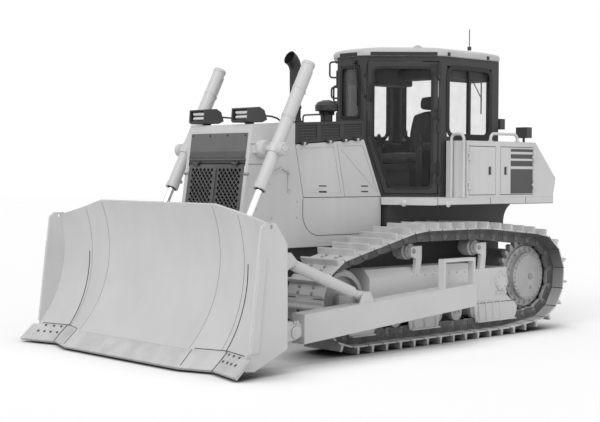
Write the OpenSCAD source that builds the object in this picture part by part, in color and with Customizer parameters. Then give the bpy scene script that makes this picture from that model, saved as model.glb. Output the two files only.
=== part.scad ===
// Crawler bulldozer with a straight blade, push arms, lift cylinders and a six-sided cab.
// Millimetres. +X is forward, +Y is the driver's left, +Z is up; the origin lies on the ground,
// halfway between the cutting edge and the rearmost grouser.

/* [Overall] */
// Distance of the cutting edge ahead of the idler axle
blade_reach = 1922.4; // [1800:2:2050]
// Width of the blade over the end bits
blade_w = 3410; // [3200:10:3600]

/* [Tracks] */
// Distance between the centre lines of the two tracks
gauge = 1880; // [1860:5:1900]
// Width of one track shoe
shoe_w = 510; // [480:5:520]
// Distance from one track pin to the next
link_pitch = 203; // [190:1:216]
// Height of a grouser above its shoe plate
grouser_h = 65; // [50:1:75]
// Thickness of a shoe plate
shoe_plate_t = 14; // [10:1:18]
// Height of the shoe seat above the line of pins
shoe_seat_h = 66; // [60:1:72]
// Height of the sprocket axle above the ground
sprocket_z = 600; // [580:5:620]
// Radius of the pins on the sprocket
sprocket_pin_r = 408; // [395:1:415]
// Height of the idler axle above the ground
idler_z = 500; // [485:5:515]
// Distance from the sprocket axle to the idler axle
idler_st = 2915; // [2850:5:2960]
// Height of the pins where the top run lies on the carrier rollers
top_run_z = 1093; // [1080:1:1110]
// Radius of a track roller's tread
roller_r = 85; // [78:1:90]
// Track rollers on each side
roller_count = 7; // [6:1:7]

/* [Frame] */
// Half the width of the main frame
hull_half_w = 430; // [400:5:450]
// Ground clearance under the main frame
hull_floor_z = 430; // [410:5:460]
// Height of the main frame's top
hull_top_z = 1000; // [970:5:1010]
// Height of the platform's top face
platform_z = 1490; // [1470:5:1510]
// Thickness of the platform
platform_t = 78; // [60:1:90]
// Half the width over the platform and the fender boxes
fender_half_w = 1080; // [1050:5:1110]

/* [Blade] */
// Height of the cutting edge above the ground
edge_z = 40; // [20:1:80]
// Slope of the cutting edge below the horizontal
edge_angle = 41.5; // [38:0.5:46]
// Width of the cutting edge along its slope
edge_l = 210; // [180:5:230]
// Thickness of the cutting edge
edge_t = 30; // [20:1:34]
// Radius of the moldboard's face
mold_r = 1086; // [1040:2:1140]
// Thickness of the moldboard
mold_t = 28; // [18:1:34]
// Height of the moldboard's top edge
mold_top_z = 1456; // [1400:4:1500]
// Set-back of the wings at the foot of the moldboard
wing_back = 125; // [90:5:150]

/* [Push arms] */
// Distance of the push arms from the centre plane
arm_y = 1315; // [1310:5:1330]
// Width of a push arm
arm_w = 166; // [156:2:180]
// Distance of the arm trunnions from the sprocket axle
trunnion_st = 1442; // [1400:2:1480]
// Height of the arm trunnions
trunnion_z = 490; // [470:2:520]
// Radius of a trunnion ball
ball_r = 75; // [68:1:80]
// Distance of the front arm pins behind the cutting edge
arm_pin_back = 923; // [900:1:950]
// Height of the front arm pins
arm_pin_z = 322; // [300:2:350]

/* [Lift cylinders] */
// Distance of the lift cylinders from the centre plane
lift_y = 680; // [660:2:700]
// Distance of the cylinder trunnions behind the nose's front top edge
lift_back = 114; // [90:2:150]
// Height of the cylinder trunnions
lift_z = 1970; // [1930:2:2010]
// Distance of the lift pins behind the cutting edge
lift_pin_back = 649; // [630:1:670]
// Height of the lift pins on the blade
lift_pin_z = 600; // [580:2:620]
// Radius of a lift rod
lift_rod_r = 35; // [30:1:38]
// Outer radius of a lift barrel
lift_barrel_r = 60; // [56:1:64]

/* [Nose and hood] */
// Half the width of the nose and the engine doors
nose_half_w = 480; // [465:5:490]
// Sheet thickness of the nose
nose_t = 40; // [30:1:44]
// Distance of the nose's front top edge from the sprocket axle
nose_top_st = 3597; // [3570:1:3620]
// Height of the nose's top
nose_top_z = 2211; // [2190:1:2230]
// Forward lean of the nose's foot against its top edge
nose_lean = 145; // [120:5:160]
// Half the width of the front panel and the grille door
grille_half_w = 429; // [400:1:434]
// Thickness of an engine door
engine_door_t = 30; // [20:1:34]

/* [Cab] */
// Half the width of the cab's front face
cab_front_half_w = 197; // [185:1:230]
// Half the width of the cab at the door posts
cab_half_w = 780; // [770:2:790]
// Distance of the cab's front from the sprocket axle
cab_front_st = 1790; // [1770:2:1800]
// Distance of the door posts from the sprocket axle
cab_post_st = 1195; // [1170:5:1210]
// Distance of the cab's rear wall from the sprocket axle
cab_rear_st = 217; // [190:1:250]
// Height of the cab's floor
cab_floor_z = 1512; // [1505:1:1540]
// Height of the top of the cab's frame
cab_top_z = 2995; // [2950:5:3020]
// Thickness of the cab's walls and doors
cab_wall_t = 60; // [50:1:64]
// Height of the roof at its crown
roof_z = 3126; // [3100:2:3140]
// Thickness of the glass
glass_t = 8; // [5:1:10]

/* [Fender boxes] */
// Height of the fender boxes' tops
box_top_z = 2095; // [2050:5:2110]
// Thickness of the fender boxes' sheets and doors
box_t = 26; // [18:1:30]

/* [Hidden] */
$fn = 48;
over = 20;
fit = 0.3;
run_fit = 0.05;
panel_gap = 6;
paint = [0.84, 0.84, 0.83];
dark = [0.16, 0.16, 0.17];
steel = [0.6, 0.6, 0.6];
pane = [0.45, 0.5, 0.52, 0.4];

// Track path, seen from the left, measured from a point on the ground below the sprocket axle
shoe_gap = 10;
notch_share = 0.4;
grouser_base_t = 34;
grouser_tip_t = 20;
grouser_place_share = -0.2;
rail_depth = 50;
rail_step = 14;
rail_flat_share = 0.3;
rail_in = 72;
rail_t = 45;
bend_st = 502;
carrier_rear_st = 909;
carrier_front_st = 1948;
pin_z = grouser_h + shoe_plate_t + shoe_seat_h;
idler_pin_r = idler_z - pin_z;
sprocket_c = [0, sprocket_z];
idler_c = [idler_st, idler_z];
bend_p = [bend_st, pin_z];
carrier_rear_p = [carrier_rear_st, top_run_z];
carrier_front_p = [carrier_front_st, top_run_z];
sprocket_low_a = tangent_angle(bend_p, sprocket_c, sprocket_pin_r, -1);
sprocket_up_a = tangent_angle(carrier_rear_p, sprocket_c, sprocket_pin_r, 1);
idler_up_a = tangent_angle(carrier_front_p, idler_c, idler_pin_r, -1);
runs = [
    [[idler_st, pin_z], bend_p],
    [bend_p, on_circle(sprocket_c, sprocket_pin_r, sprocket_low_a)],
    [sprocket_c, sprocket_pin_r, sprocket_low_a, sprocket_up_a - 360],
    [on_circle(sprocket_c, sprocket_pin_r, sprocket_up_a), carrier_rear_p],
    [carrier_rear_p, carrier_front_p],
    [carrier_front_p, on_circle(idler_c, idler_pin_r, idler_up_a)],
    [idler_c, idler_pin_r, idler_up_a, -90]
];
loop_l = total([for (run = runs) run_length(run)]);
shoe_count = round(loop_l / link_pitch);
pitch = loop_l / shoe_count;
pins = [for (i = [0 : shoe_count - 1]) path_point(i * pitch, 0)];
tip_v = pin_z;
plate_v = pin_z - grouser_h;
notch_v = shoe_seat_h + shoe_plate_t * notch_share;
grouser_u = pitch * grouser_place_share;
rear_reach = max([for (i = [0 : shoe_count - 1]) for (side = [-1, 1])
    -shoe_point(i, grouser_u + side * grouser_tip_t / 2, tip_v)[0]]);
overall_l = rear_reach + idler_st + blade_reach;
sprocket_x = rear_reach - overall_l / 2;
edge_x = overall_l / 2;
track_y = gauge / 2;

function tangent_angle(p, c, r, side) = atan2(p[1] - c[1], p[0] - c[0]) + side * acos(r / norm(p - c));
function on_circle(c, r, a) = c + r * [cos(a), sin(a)];
function total(v, i = 0) = i < len(v) ? v[i] + total(v, i + 1) : 0;
function run_length(run) = len(run) == 2 ? norm(run[1] - run[0]) : run[1] * abs(run[3] - run[2]) * PI / 180;
function run_point(run, s) = len(run) == 2
    ? run[0] + (run[1] - run[0]) * s / run_length(run)
    : on_circle(run[0], run[1], run[2] + (run[3] - run[2]) * s / run_length(run));
function path_point(s, i) = s <= run_length(runs[i]) || i == len(runs) - 1
    ? run_point(runs[i], s)
    : path_point(s - run_length(runs[i]), i + 1);
function pin_at(i) = pins[i % shoe_count];
function chord(i) = pin_at(i + 1) - pin_at(i);
function along(i) = chord(i) / norm(chord(i));
function outward(i) = [-along(i)[1], along(i)[0]];
function shoe_point(i, u, v) = (pin_at(i) + pin_at(i + 1)) / 2 + along(i) * u + outward(i) * v;
function bend_point(i, v) = let (n = outward(i + shoe_count - 1) + outward(i)) pin_at(i) + n / norm(n) * v;
function at_x(st) = sprocket_x + st;
function at_points(points) = [for (p = points) [at_x(p[0]), p[1]]];

// Helpers for solids
module block(low, high) {
    translate(low) cube(high - low);
}
module plate_y(points, y0, y1) {
    translate([0, y1, 0]) rotate([90, 0, 0]) linear_extrude(y1 - y0) polygon(points);
}
module bar_y(x, z, r, y0, y1) {
    translate([x, y1, z]) rotate([90, 0, 0]) cylinder(r = r, h = y1 - y0);
}
module bar(p, q, r) {
    v = q - p;
    translate(p) rotate([0, acos(v[2] / norm(v)), atan2(v[1], v[0])]) cylinder(r = r, h = norm(v));
}
module turned_y(x, y, z, points) {
    translate([x, y, z]) rotate([-90, 0, 0]) rotate_extrude() polygon(points);
}
hinge_r = 14;
hinge_leaf = 24;
hinge_set = 2;
hinge_h = 90;
module knuckle(side, z0, z1) {
    translate([0, 0, z0]) cylinder(r = hinge_r, h = z1 - z0);
    block([side > 0 ? 0 : -hinge_leaf, -hinge_r - fit - hinge_set, z0], [side > 0 ? hinge_leaf : 0, 0, z1]);
}
module hinge_moving(z) {
    knuckle(1, z - hinge_h / 6 + fit, z + hinge_h / 6 - fit);
}
module hinge_fixed(z) {
    knuckle(-1, z - hinge_h / 2, z - hinge_h / 6);
    knuckle(-1, z + hinge_h / 6, z + hinge_h / 2);
}
module both_sides() {
    children();
    mirror([0, 1, 0]) children();
}
module loft(sections) {
    n = len(sections[0]);
    last = len(sections) - 1;
    points = [for (s = sections) each s];
    near_cap = [[for (i = [0 : n - 1]) i]];
    far_cap = [[for (i = [n - 1 : -1 : 0]) last * n + i]];
    walls = [for (s = [0 : last - 1]) for (i = [0 : n - 1]) let (
            a = s * n + i, b = s * n + (i + 1) % n, c = a + n, d = b + n)
        each [[a, c, b], [b, c, d]]];
    polyhedron(points, concat(near_cap, walls, far_cap));
}

// Main frame: belly, saddle for the equaliser bar, front guard and rear case
hull_rear_st = -250;
hull_rear_z = 560;
hull_rear_foot_st = -150;
saddle_rear_st = 2240;
saddle_front_st = 2890;
saddle_slope = 50;
saddle_z = 640;
guard_z = 520;
guard_front_st = 3560;
hull_front_st = 3640;
hull_front_z = 620;
case_half_w = 560;
case_rear_st = -170;
case_front_st = 1770;
case_flare = 230;
platform_low_z = platform_z - platform_t;
module main_frame() color(paint) {
    plate_y(at_points([[hull_rear_st, hull_rear_z], [hull_rear_foot_st, hull_floor_z],
        [saddle_rear_st, hull_floor_z], [saddle_rear_st + saddle_slope, saddle_z],
        [saddle_front_st - saddle_slope, saddle_z], [saddle_front_st, guard_z],
        [guard_front_st, guard_z], [hull_front_st, hull_front_z], [hull_front_st, hull_top_z],
        [hull_rear_st, hull_top_z]]), -hull_half_w, hull_half_w);
    block([at_x(case_rear_st), -case_half_w, hull_top_z], [at_x(case_front_st), case_half_w,
        platform_low_z]);
    difference() {
        block([at_x(case_rear_st - case_flare), -case_half_w, platform_low_z - case_flare],
            [at_x(case_rear_st), case_half_w, platform_low_z]);
        bar_y(at_x(case_rear_st - case_flare), platform_low_z - case_flare, case_flare - fit,
            -case_half_w - over, case_half_w + over);
    }
}

// Cross shafts: equaliser bar under the engine and the pivot shafts at the rear
pivot_st = 532;
pivot_z = 576;
pivot_r = 70;
equaliser_st = 2565;
equaliser_half_l = 95;
equaliser_low_z = 450;
equaliser_h = 150;
equaliser_pin_half_w = 70;
frame_half_w = 140;
frame_in = track_y - frame_half_w;
frame_out = track_y + frame_half_w;
module cross_shafts() color(steel) {
    both_sides() bar_y(at_x(pivot_st), pivot_z, pivot_r, hull_half_w + fit, frame_in - fit);
    block([at_x(equaliser_st - equaliser_half_l), fit - frame_in, equaliser_low_z],
        [at_x(equaliser_st + equaliser_half_l), frame_in - fit, equaliser_low_z + equaliser_h]);
    block([at_x(equaliser_st - equaliser_half_l), -equaliser_pin_half_w, equaliser_low_z],
        [at_x(equaliser_st + equaliser_half_l), equaliser_pin_half_w, saddle_z - fit]);
}

// Track frames: roofed box beam, rear block, idler yoke, roller guards, carrier posts, arm trunnion
frame_low_z = 400;
frame_edge_z = 711;
frame_ridge_z = 790;
frame_ridge_in = 80;
frame_front_st = 2590;
block_front_st = 992;
block_rear_l = 105;
block_top_z = 725;
block_low_z = 345;
cap_r = 100;
cap_t = 22;
yoke_t = 40;
yoke_half_h = 60;
yoke_front = 90;
skirt_t = 16;
skirt_low_z = 150;
skirt_taper = 45;
skirt_rear_sts = [240, 984];
skirt_mid_sts = [1517, 2034];
skirt_front_sts = [2480, 2900];
skirt_tail_z = 300;
post_half_l = 42;
post_lean = 60;
post_back = 82;
post_lug = 40;
post_t = 40;
post_top_z = 1005;
carrier_z = 955;
trunnion_flange_r = 115;
trunnion_flange_t = 22;
trunnion_neck_r = 45;
module roller_skirt(sts, rear_z, rear_top_z, top_z) {
    x0 = at_x(sts[0]);
    x1 = at_x(sts[1]);
    block_x = min(x1, max(x0, at_x(pivot_st - block_rear_l)));
    plate_y([[x0, rear_top_z], [x0, rear_z], [x0 + skirt_taper, skirt_low_z], [x1 - skirt_taper,
        skirt_low_z],
        [x1, block_low_z], [x1, top_z], [block_x + fit, top_z]], frame_out - skirt_t, frame_out);
}
module carrier_post(st, axle_st) {
    plate_y(at_points([[st - post_half_l + post_lean, frame_low_z], [st + post_half_l + post_lean, frame_low_z],
        [st + post_half_l, carrier_z - post_back], [axle_st + post_lug, carrier_z - post_lug],
        [axle_st + post_lug, carrier_z + post_lug], [st + post_half_l, post_top_z],
        [st - post_half_l, post_top_z],
        [st - post_half_l, carrier_z - post_back]]), frame_out - post_t, frame_out);
}
module track_frame() {
    translate([at_x(block_front_st), 0, 0]) rotate([90, 0, 90])
        linear_extrude(frame_front_st - block_front_st)
        polygon([[frame_in, frame_low_z], [frame_out, frame_low_z], [frame_out, frame_edge_z],
            [frame_out - frame_ridge_in, frame_ridge_z], [frame_in, frame_ridge_z]]);
    block([at_x(pivot_st - block_rear_l), frame_in, frame_low_z],
        [at_x(block_front_st), frame_out, block_top_z]);
    bar_y(at_x(pivot_st), pivot_z, cap_r, frame_out, frame_out + cap_t);
    for (y = [frame_in, frame_out - yoke_t])
        block([at_x(frame_front_st - yoke_front), y, idler_z - yoke_half_h],
            [at_x(idler_st + yoke_front), y + yoke_t, idler_z + yoke_half_h]);
    roller_skirt(skirt_rear_sts, (skirt_low_z + skirt_tail_z) / 2, skirt_tail_z, frame_low_z + over);
    roller_skirt(skirt_mid_sts, block_low_z, frame_low_z, frame_low_z + over);
    roller_skirt(skirt_front_sts, block_low_z, frame_low_z, idler_z - yoke_half_h + over);
    for (st = [carrier_rear_st, carrier_front_st])
        carrier_post(st - post_back, st);
    bar_y(at_x(trunnion_st), trunnion_z, trunnion_flange_r, frame_out, frame_out + trunnion_flange_t);
    bar_y(at_x(trunnion_st), trunnion_z, trunnion_neck_r, frame_out, arm_y);
    translate([at_x(trunnion_st), arm_y, trunnion_z]) sphere(ball_r);
}
module track_frames() color(paint) both_sides() track_frame();

// Tracks: one loop of shoe plates with grousers, on two rails of links
function shoe_outline(i) = let (half = norm(chord(i)) / 2 - shoe_gap / 2) [
    shoe_point(i, -half, notch_v), shoe_point(i, -half, plate_v),
    shoe_point(i, grouser_u - grouser_base_t / 2, plate_v), shoe_point(i, grouser_u - grouser_tip_t / 2,
        tip_v),
    shoe_point(i, grouser_u + grouser_tip_t / 2, tip_v), shoe_point(i, grouser_u + grouser_base_t / 2,
        plate_v),
    shoe_point(i, half, plate_v), shoe_point(i, half, notch_v)];
function rail_outline(i) = [
    bend_point(i, rail_step - rail_depth), shoe_point(i, -pitch * rail_flat_share, -rail_depth),
    shoe_point(i, pitch * rail_flat_share, -rail_depth)];
module ring(outer, inner) {
    polygon(concat(outer, inner), [[for (i = [0 : len(outer) - 1]) i],
        [for (i = [0 : len(inner) - 1]) len(outer) + i]]);
}
module track() {
    shoes = [for (i = [0 : shoe_count - 1]) each shoe_outline(i)];
    seat = [for (i = [0 : shoe_count - 1]) bend_point(i, shoe_seat_h)];
    root = [for (i = [0 : shoe_count - 1]) bend_point(i, notch_v)];
    rail = [for (i = [0 : shoe_count - 1]) each rail_outline(i)];
    translate([sprocket_x, track_y + shoe_w / 2, 0]) rotate([90, 0,
        0]) linear_extrude(shoe_w) ring(shoes, seat);
    for (y = [-rail_in - rail_t, rail_in])
        translate([sprocket_x, track_y + y + rail_t, 0]) rotate([90, 0,
            0]) linear_extrude(rail_t) ring(root, rail);
}
module track_l() color(steel) track();
module track_r() color(steel) mirror([0, 1, 0]) track();

// Sprockets: toothed rim, final-drive case and outer hub with its bolt ring
tooth_count = 25;
tooth_r = 415;
root_r = 355;
tooth_half_w = 30;
tooth_shares = [[-0.36, 0], [-0.15, 1], [0.15, 1], [0.36, 0]];
case_r = 290;
rim_r = 335;
hub_r = 262;
hub_out_l = 110;
hub_ring_r = 222;
hub_dome_h = 30;
hub_cap_r = 90;
hub_step_l = 28;
module sprocket() {
    tooth_a = 360 / tooth_count;
    translate([sprocket_x, track_y + tooth_half_w, sprocket_z]) rotate([90, 0, 0])
        linear_extrude(2 * tooth_half_w)
        polygon([for (k = [0 : tooth_count - 1]) for (s = tooth_shares)
            on_circle([0, 0], root_r + s[1] * (tooth_r - root_r), (k + s[0]) * tooth_a)]);
    turned_y(sprocket_x, track_y, sprocket_z, [
        [0, hull_half_w + fit - track_y], [case_r, hull_half_w + fit - track_y],
        [case_r, -tooth_half_w], [rim_r, -tooth_half_w], [rim_r, tooth_half_w + hub_step_l],
        [hub_r, tooth_half_w + hub_step_l], [hub_r, hub_out_l], [hub_ring_r, hub_out_l],
        [hub_cap_r, hub_out_l + hub_dome_h], [0, hub_out_l + hub_dome_h]]);
}
module sprockets() color(steel) both_sides() sprocket();

// Idlers: flanged wheels in the yokes
idler_tread_r = sqrt(idler_pin_r * idler_pin_r - pitch * pitch / 4) - rail_depth - 2 * fit;
idler_flange = 22;
idler_flange_half_w = 58;
idler_half_w = 92;
idler_rim_t = 45;
idler_web_half_w = 26;
idler_hub_r = 82;
idler_shaft_r = 45;
module idler() {
    half_span = frame_out - yoke_t - track_y - fit;
    turned_y(at_x(idler_st), track_y, idler_z, [
        [0, -half_span], [idler_shaft_r, -half_span], [idler_shaft_r, -idler_half_w],
        [idler_hub_r, -idler_half_w], [idler_hub_r, -idler_web_half_w],
        [idler_tread_r - idler_rim_t, -idler_web_half_w], [idler_tread_r - idler_rim_t, -idler_half_w],
        [idler_tread_r, -idler_half_w], [idler_tread_r, -idler_flange_half_w],
        [idler_tread_r + idler_flange, -idler_flange_half_w], [idler_tread_r + idler_flange,
            idler_flange_half_w],
        [idler_tread_r, idler_flange_half_w], [idler_tread_r, idler_half_w],
        [idler_tread_r - idler_rim_t, idler_half_w], [idler_tread_r - idler_rim_t, idler_web_half_w],
        [idler_hub_r, idler_web_half_w], [idler_hub_r, idler_half_w], [idler_shaft_r, idler_half_w],
        [idler_shaft_r, half_span], [0, half_span]]);
}
module idlers() color(steel) both_sides() idler();

// Rollers: the row under each track frame and the two carriers above it
roller_first_l = 420;
roller_last_l = 110;
roller_half_w = 118;
roller_waist_half_w = 60;
roller_waist_t = 12;
roller_shaft_r = 32;
collar_half_l = 48;
carrier_r = 72;
carrier_half_w = 96;
carrier_flange_r = 90;
carrier_flange_half_w = 58;
module roller(st) {
    z = pin_z + rail_depth + roller_r + fit;
    collar_in = roller_half_w - roller_waist_t;
    collar_out = frame_out - skirt_t - fit - track_y;
    turned_y(at_x(st), track_y, z, [
        [0, -collar_out], [roller_shaft_r, -collar_out], [roller_shaft_r, -roller_half_w],
        [roller_r, -roller_half_w], [roller_r, -roller_waist_half_w], [roller_r - roller_waist_t,
            -roller_waist_half_w],
        [roller_r - roller_waist_t, roller_waist_half_w], [roller_r, roller_waist_half_w], [roller_r,
            roller_half_w],
        [roller_shaft_r, roller_half_w], [roller_shaft_r, collar_out], [0, collar_out]]);
    for (side = [-1, 1]) {
        y0 = min(side * collar_in, side * collar_out);
        block([at_x(st) - collar_half_l, track_y + y0, z - collar_half_l],
            [at_x(st) + collar_half_l, track_y + y0 + collar_out - collar_in, frame_low_z]);
    }
}
module carrier(st) {
    span = frame_out - post_t - track_y - fit;
    turned_y(at_x(st), track_y, carrier_z, [
        [0, -carrier_half_w], [carrier_r, -carrier_half_w], [carrier_r, -carrier_flange_half_w],
        [carrier_flange_r, -carrier_flange_half_w], [carrier_flange_r, carrier_flange_half_w],
        [carrier_r, carrier_flange_half_w], [carrier_r, carrier_half_w],
        [roller_shaft_r, carrier_half_w], [roller_shaft_r, span], [0, span]]);
}
module rollers() color(steel) both_sides() {
    first = idler_st - roller_first_l;
    last = bend_st + roller_last_l;
    for (k = [0 : roller_count - 1]) roller(last + (first - last) * k / (roller_count - 1));
    carrier(carrier_rear_st);
    carrier(carrier_front_st);
}

// Engine and radiator: plain masses on the main frame
engine_rear_st = 2130;
engine_front_st = 2850;
engine_half_w = 300;
engine_z = 1950;
radiator_rear_st = 3380;
radiator_t = 130;
radiator_half_w = 395;
radiator_z = 2090;
module engine() color(dark) {
    block([at_x(engine_rear_st), -engine_half_w, hull_top_z + fit], [at_x(engine_front_st),
        engine_half_w, engine_z]);
}
module radiator() color(dark) {
    block([at_x(radiator_rear_st), -radiator_half_w, hull_top_z + fit],
        [at_x(radiator_rear_st + radiator_t), radiator_half_w, radiator_z]);
}

// Nose: radiator guard with the side sheets under the engine doors
seam_top_st = 3041;
seam_low_st = 2930;
sill_z = 1494;
nose_rear_top_z = 2236;
nose_foot_z = 1200;
skirt_rear_st = 1803;
panel_low_z = 1831;
panel_top_z = 2127;
grille_low_z = 1160;
function nose_ridge_z(st) = nose_top_z
    + (nose_top_st - st) / (nose_top_st - seam_top_st) * (nose_rear_top_z - nose_top_z);
function nose_front_st(z) = nose_top_st + nose_lean * (nose_top_z - max(z,
    nose_foot_z)) / (nose_top_z - nose_foot_z);
nose_seat_st = 3560;
nose_seat_h = 45;
module nose() color(paint) {
    nose_shell();
    for (y = [-grille_hinge_y, grille_hinge_y]) at_grille_hinge(y) hinge_fixed(0);
    block([at_x(nose_seat_st), nose_t - nose_half_w - over, hull_top_z + fit],
        [at_x(nose_front_st(nose_foot_z)) - nose_t + over, nose_half_w - nose_t + over,
            hull_top_z + nose_seat_h]);
}
module nose_shell() difference() {
    plate_y(at_points([[seam_top_st, nose_rear_top_z], [nose_top_st, nose_top_z],
        [nose_front_st(nose_foot_z), nose_foot_z], [nose_front_st(nose_foot_z), hull_top_z + fit],
        [skirt_rear_st, hull_top_z + fit], [skirt_rear_st, sill_z], [seam_low_st, sill_z],
            [seam_top_st, door_front_top_z]]), -nose_half_w, nose_half_w);
    plate_y(at_points([[skirt_rear_st - over, nose_rear_top_z - nose_t], [seam_top_st,
        nose_rear_top_z - nose_t],
        [nose_top_st - nose_t, nose_top_z - nose_t], [nose_front_st(nose_foot_z) - nose_t, nose_foot_z],
        [nose_front_st(nose_foot_z) - nose_t, hull_top_z - over], [skirt_rear_st - over,
            hull_top_z - over]]),
        nose_t - nose_half_w, nose_half_w - nose_t);
    block([at_x(nose_top_st - nose_t), -grille_half_w, grille_low_z],
        [at_x(nose_front_st(nose_foot_z) + over), grille_half_w, panel_low_z]);
}
front_panel_t = 10;
panel_foot_in = 32;
panel_foot_z = panel_low_z + panel_foot_in;
module front_panel() color(dark) {
    plate_y(at_points([[nose_front_st(panel_top_z) + fit, panel_top_z],
        [nose_front_st(panel_top_z) + front_panel_t, panel_top_z],
        [nose_front_st(panel_foot_z) + front_panel_t, panel_foot_z],
        [nose_front_st(panel_foot_z) + fit, panel_foot_z]]), -grille_half_w, grille_half_w);
}

// Grille door: a frame with a centre bar and a mesh of diamond holes, hung from its top edge
grille_t = 24;
grille_rim = 22;
mesh_pitch = 60;
mesh_bar = 11;
grille_gap = 8;
grille_hinge_y = 300;
grille_h = panel_low_z - grille_low_z - 2 * grille_gap;
grille_w = 2 * (grille_half_w - grille_gap);
module grille_sheet() {
    half_cell = (mesh_pitch - mesh_bar) / 2;
    bay_w = grille_w / 2 - 2 * grille_rim;
    cols = floor(bay_w / mesh_pitch);
    rows = floor((grille_h - 2 * grille_rim) / mesh_pitch);
    holes = [for (side = [-1, 1]) for (r = [0 : 2 * rows - 2]) for (c = [0 : cols - 1 - r % 2])
        [side * grille_w / 4 + (c - (cols - 1 - r % 2) / 2) * mesh_pitch,
            -grille_h / 2 + (r - rows + 1) * mesh_pitch / 2]];
    points = concat([[-grille_w / 2, -grille_h], [grille_w / 2, -grille_h], [grille_w / 2, 0],
        [-grille_w / 2, 0]],
        [for (h = holes) each [h + [half_cell, 0], h + [0, half_cell], h - [half_cell, 0], h - [0,
            half_cell]]]);
    polygon(points, [for (k = [0 : len(holes)]) [for (i = [0 : 3]) 4 * k + i]]);
}
grille_lean = atan2(nose_lean, nose_top_z - nose_foot_z);
module at_grille_hinge(y) {
    translate([at_x(nose_front_st(panel_low_z)), y, panel_low_z - grille_gap / 2]) rotate([0,
        -grille_lean, 0])
        translate([hinge_r + fit, 0, 0]) rotate([0, 90, 0]) rotate([90, 0, 0]) children();
}
module grille_door() color(dark) {
    for (y = [-grille_hinge_y, grille_hinge_y]) at_grille_hinge(y) hinge_moving(0);
    translate([at_x(nose_front_st(panel_low_z)), 0, panel_low_z - grille_gap]) rotate([0, -grille_lean,
        0]) {
        translate([-grille_t, 0, 0]) rotate([90, 0, 90]) linear_extrude(grille_t) grille_sheet();
    }
}

// Hood: dark top cover with side strips, carried by the sloping bulkhead before the cab
hood_front_z = 2242;
hood_rear_z = 2288;
hood_rear_st = 2067;
door_front_top_z = 2026;
door_rear_top_z = 2096;
hood_t = 30;
bulkhead_t = 26;
bulkhead_half_w = 436;
louvre_in = 8;
louvre_rim = 30;
function hood_share(st) = (seam_top_st - st) / (seam_top_st - hood_rear_st);
function door_top_z(st) = door_front_top_z + hood_share(st) * (door_rear_top_z - door_front_top_z);
function hood_top_z(st) = hood_front_z + hood_share(st) * (hood_rear_z - hood_front_z);
module louvre(st0, st1) {
    both_sides() plate_y(at_points([[st0, door_top_z(st0) + panel_gap + louvre_rim], [st1,
        door_top_z(st1) + panel_gap + louvre_rim],
        [st1, hood_top_z(st1) - louvre_rim], [st0, hood_top_z(st0) - louvre_rim]]),
            nose_half_w - louvre_in, nose_half_w + over);
}
module hood() color(dark) {
    front = seam_top_st - panel_gap;
    difference() {
        plate_y(at_points([[front, door_top_z(front) + panel_gap], [front, hood_top_z(front)],
            [hood_rear_st, hood_rear_z], [hood_rear_st, door_rear_top_z + panel_gap]]), -nose_half_w,
                nose_half_w);
        plate_y(at_points([[front + over, hull_top_z], [front + over, hood_top_z(front) - hood_t],
            [hood_rear_st + hood_t, hood_rear_z - hood_t], [hood_rear_st + hood_t, hull_top_z]]),
            nose_t - nose_half_w, nose_half_w - nose_t);
        louvre(front - louvre_rim, (2 * front + hood_rear_st) / 3 + louvre_rim);
        louvre((2 * front + hood_rear_st) / 3 - louvre_rim, (front + 2 * hood_rear_st) / 3 + louvre_rim);
        louvre((front + 2 * hood_rear_st) / 3 - louvre_rim, hood_rear_st + louvre_rim);
    }
    both_sides() for (st = concat(front_hinges, rear_hinges)) at_gull_hinge(st) hinge_fixed(0);
    plate_y(at_points([[hood_rear_st, door_rear_top_z + louvre_rim], [hood_rear_st + bulkhead_t,
        door_rear_top_z + louvre_rim],
        [skirt_rear_st + bulkhead_t, sill_z], [skirt_rear_st + bulkhead_t, hull_top_z + fit],
        [skirt_rear_st, hull_top_z + fit], [skirt_rear_st, sill_z]]), -bulkhead_half_w, bulkhead_half_w);
}

// Engine doors: two gull-wing doors on each side, hung from the hood strip
door_split_top_st = 2463;
door_split_low_st = 2342;
pocket_depth = 7;
pocket_rim = 42;
rib_half_w = 22;
function door_outline(top_front, top_rear, low_front, low_rear) = at_points([
    [top_front, door_top_z(top_front) - panel_gap / 2], [top_rear, door_top_z(top_rear) - panel_gap / 2],
    [low_rear, sill_z + panel_gap], [low_front, sill_z + panel_gap]]);
function centre(p) = (p[0] + p[1] + p[2] + p[3]) / 4;
function inset(points, d) = let (c = centre(points)) [for (p = points) p + (c - p) / norm(c - p) * d];
door_slope = atan2(door_rear_top_z - door_front_top_z, seam_top_st - hood_rear_st);
gull_hinge_in = 110;
module at_gull_hinge(st) {
    translate([at_x(st), nose_half_w + hinge_r + fit, door_top_z(st) + panel_gap / 4]) rotate([0,
        90 + door_slope, 0]) children();
}
front_hinges = [door_split_top_st + gull_hinge_in, seam_top_st - gull_hinge_in];
rear_hinges = [hood_rear_st + gull_hinge_in, door_split_top_st - gull_hinge_in];
module engine_door(outline, hinges) {
    pocket = inset(outline, pocket_rim + pocket_rim / 2);
    difference() {
        plate_y(outline, nose_half_w - engine_door_t, nose_half_w);
        plate_y(pocket, nose_half_w - pocket_depth, nose_half_w + over);
    }
    for (st = hinges) at_gull_hinge(st) hinge_moving(0);
}
front_outline = door_outline(seam_top_st - panel_gap, door_split_top_st + panel_gap / 2,
    seam_low_st - panel_gap, door_split_low_st + panel_gap / 2);
rear_outline = door_outline(door_split_top_st - panel_gap / 2, hood_rear_st,
    door_split_low_st - panel_gap / 2, skirt_rear_st);
module engine_door_rib() {
    pocket = inset(rear_outline, pocket_rim + pocket_rim / 2);
    side = [0, rib_half_w];
    plate_y([pocket[0] - side, pocket[0], pocket[2] + side, pocket[2]],
        nose_half_w - engine_door_t, nose_half_w - pocket_depth / 2);
}
module engine_door_fl() color(paint) engine_door(front_outline, front_hinges);
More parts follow.
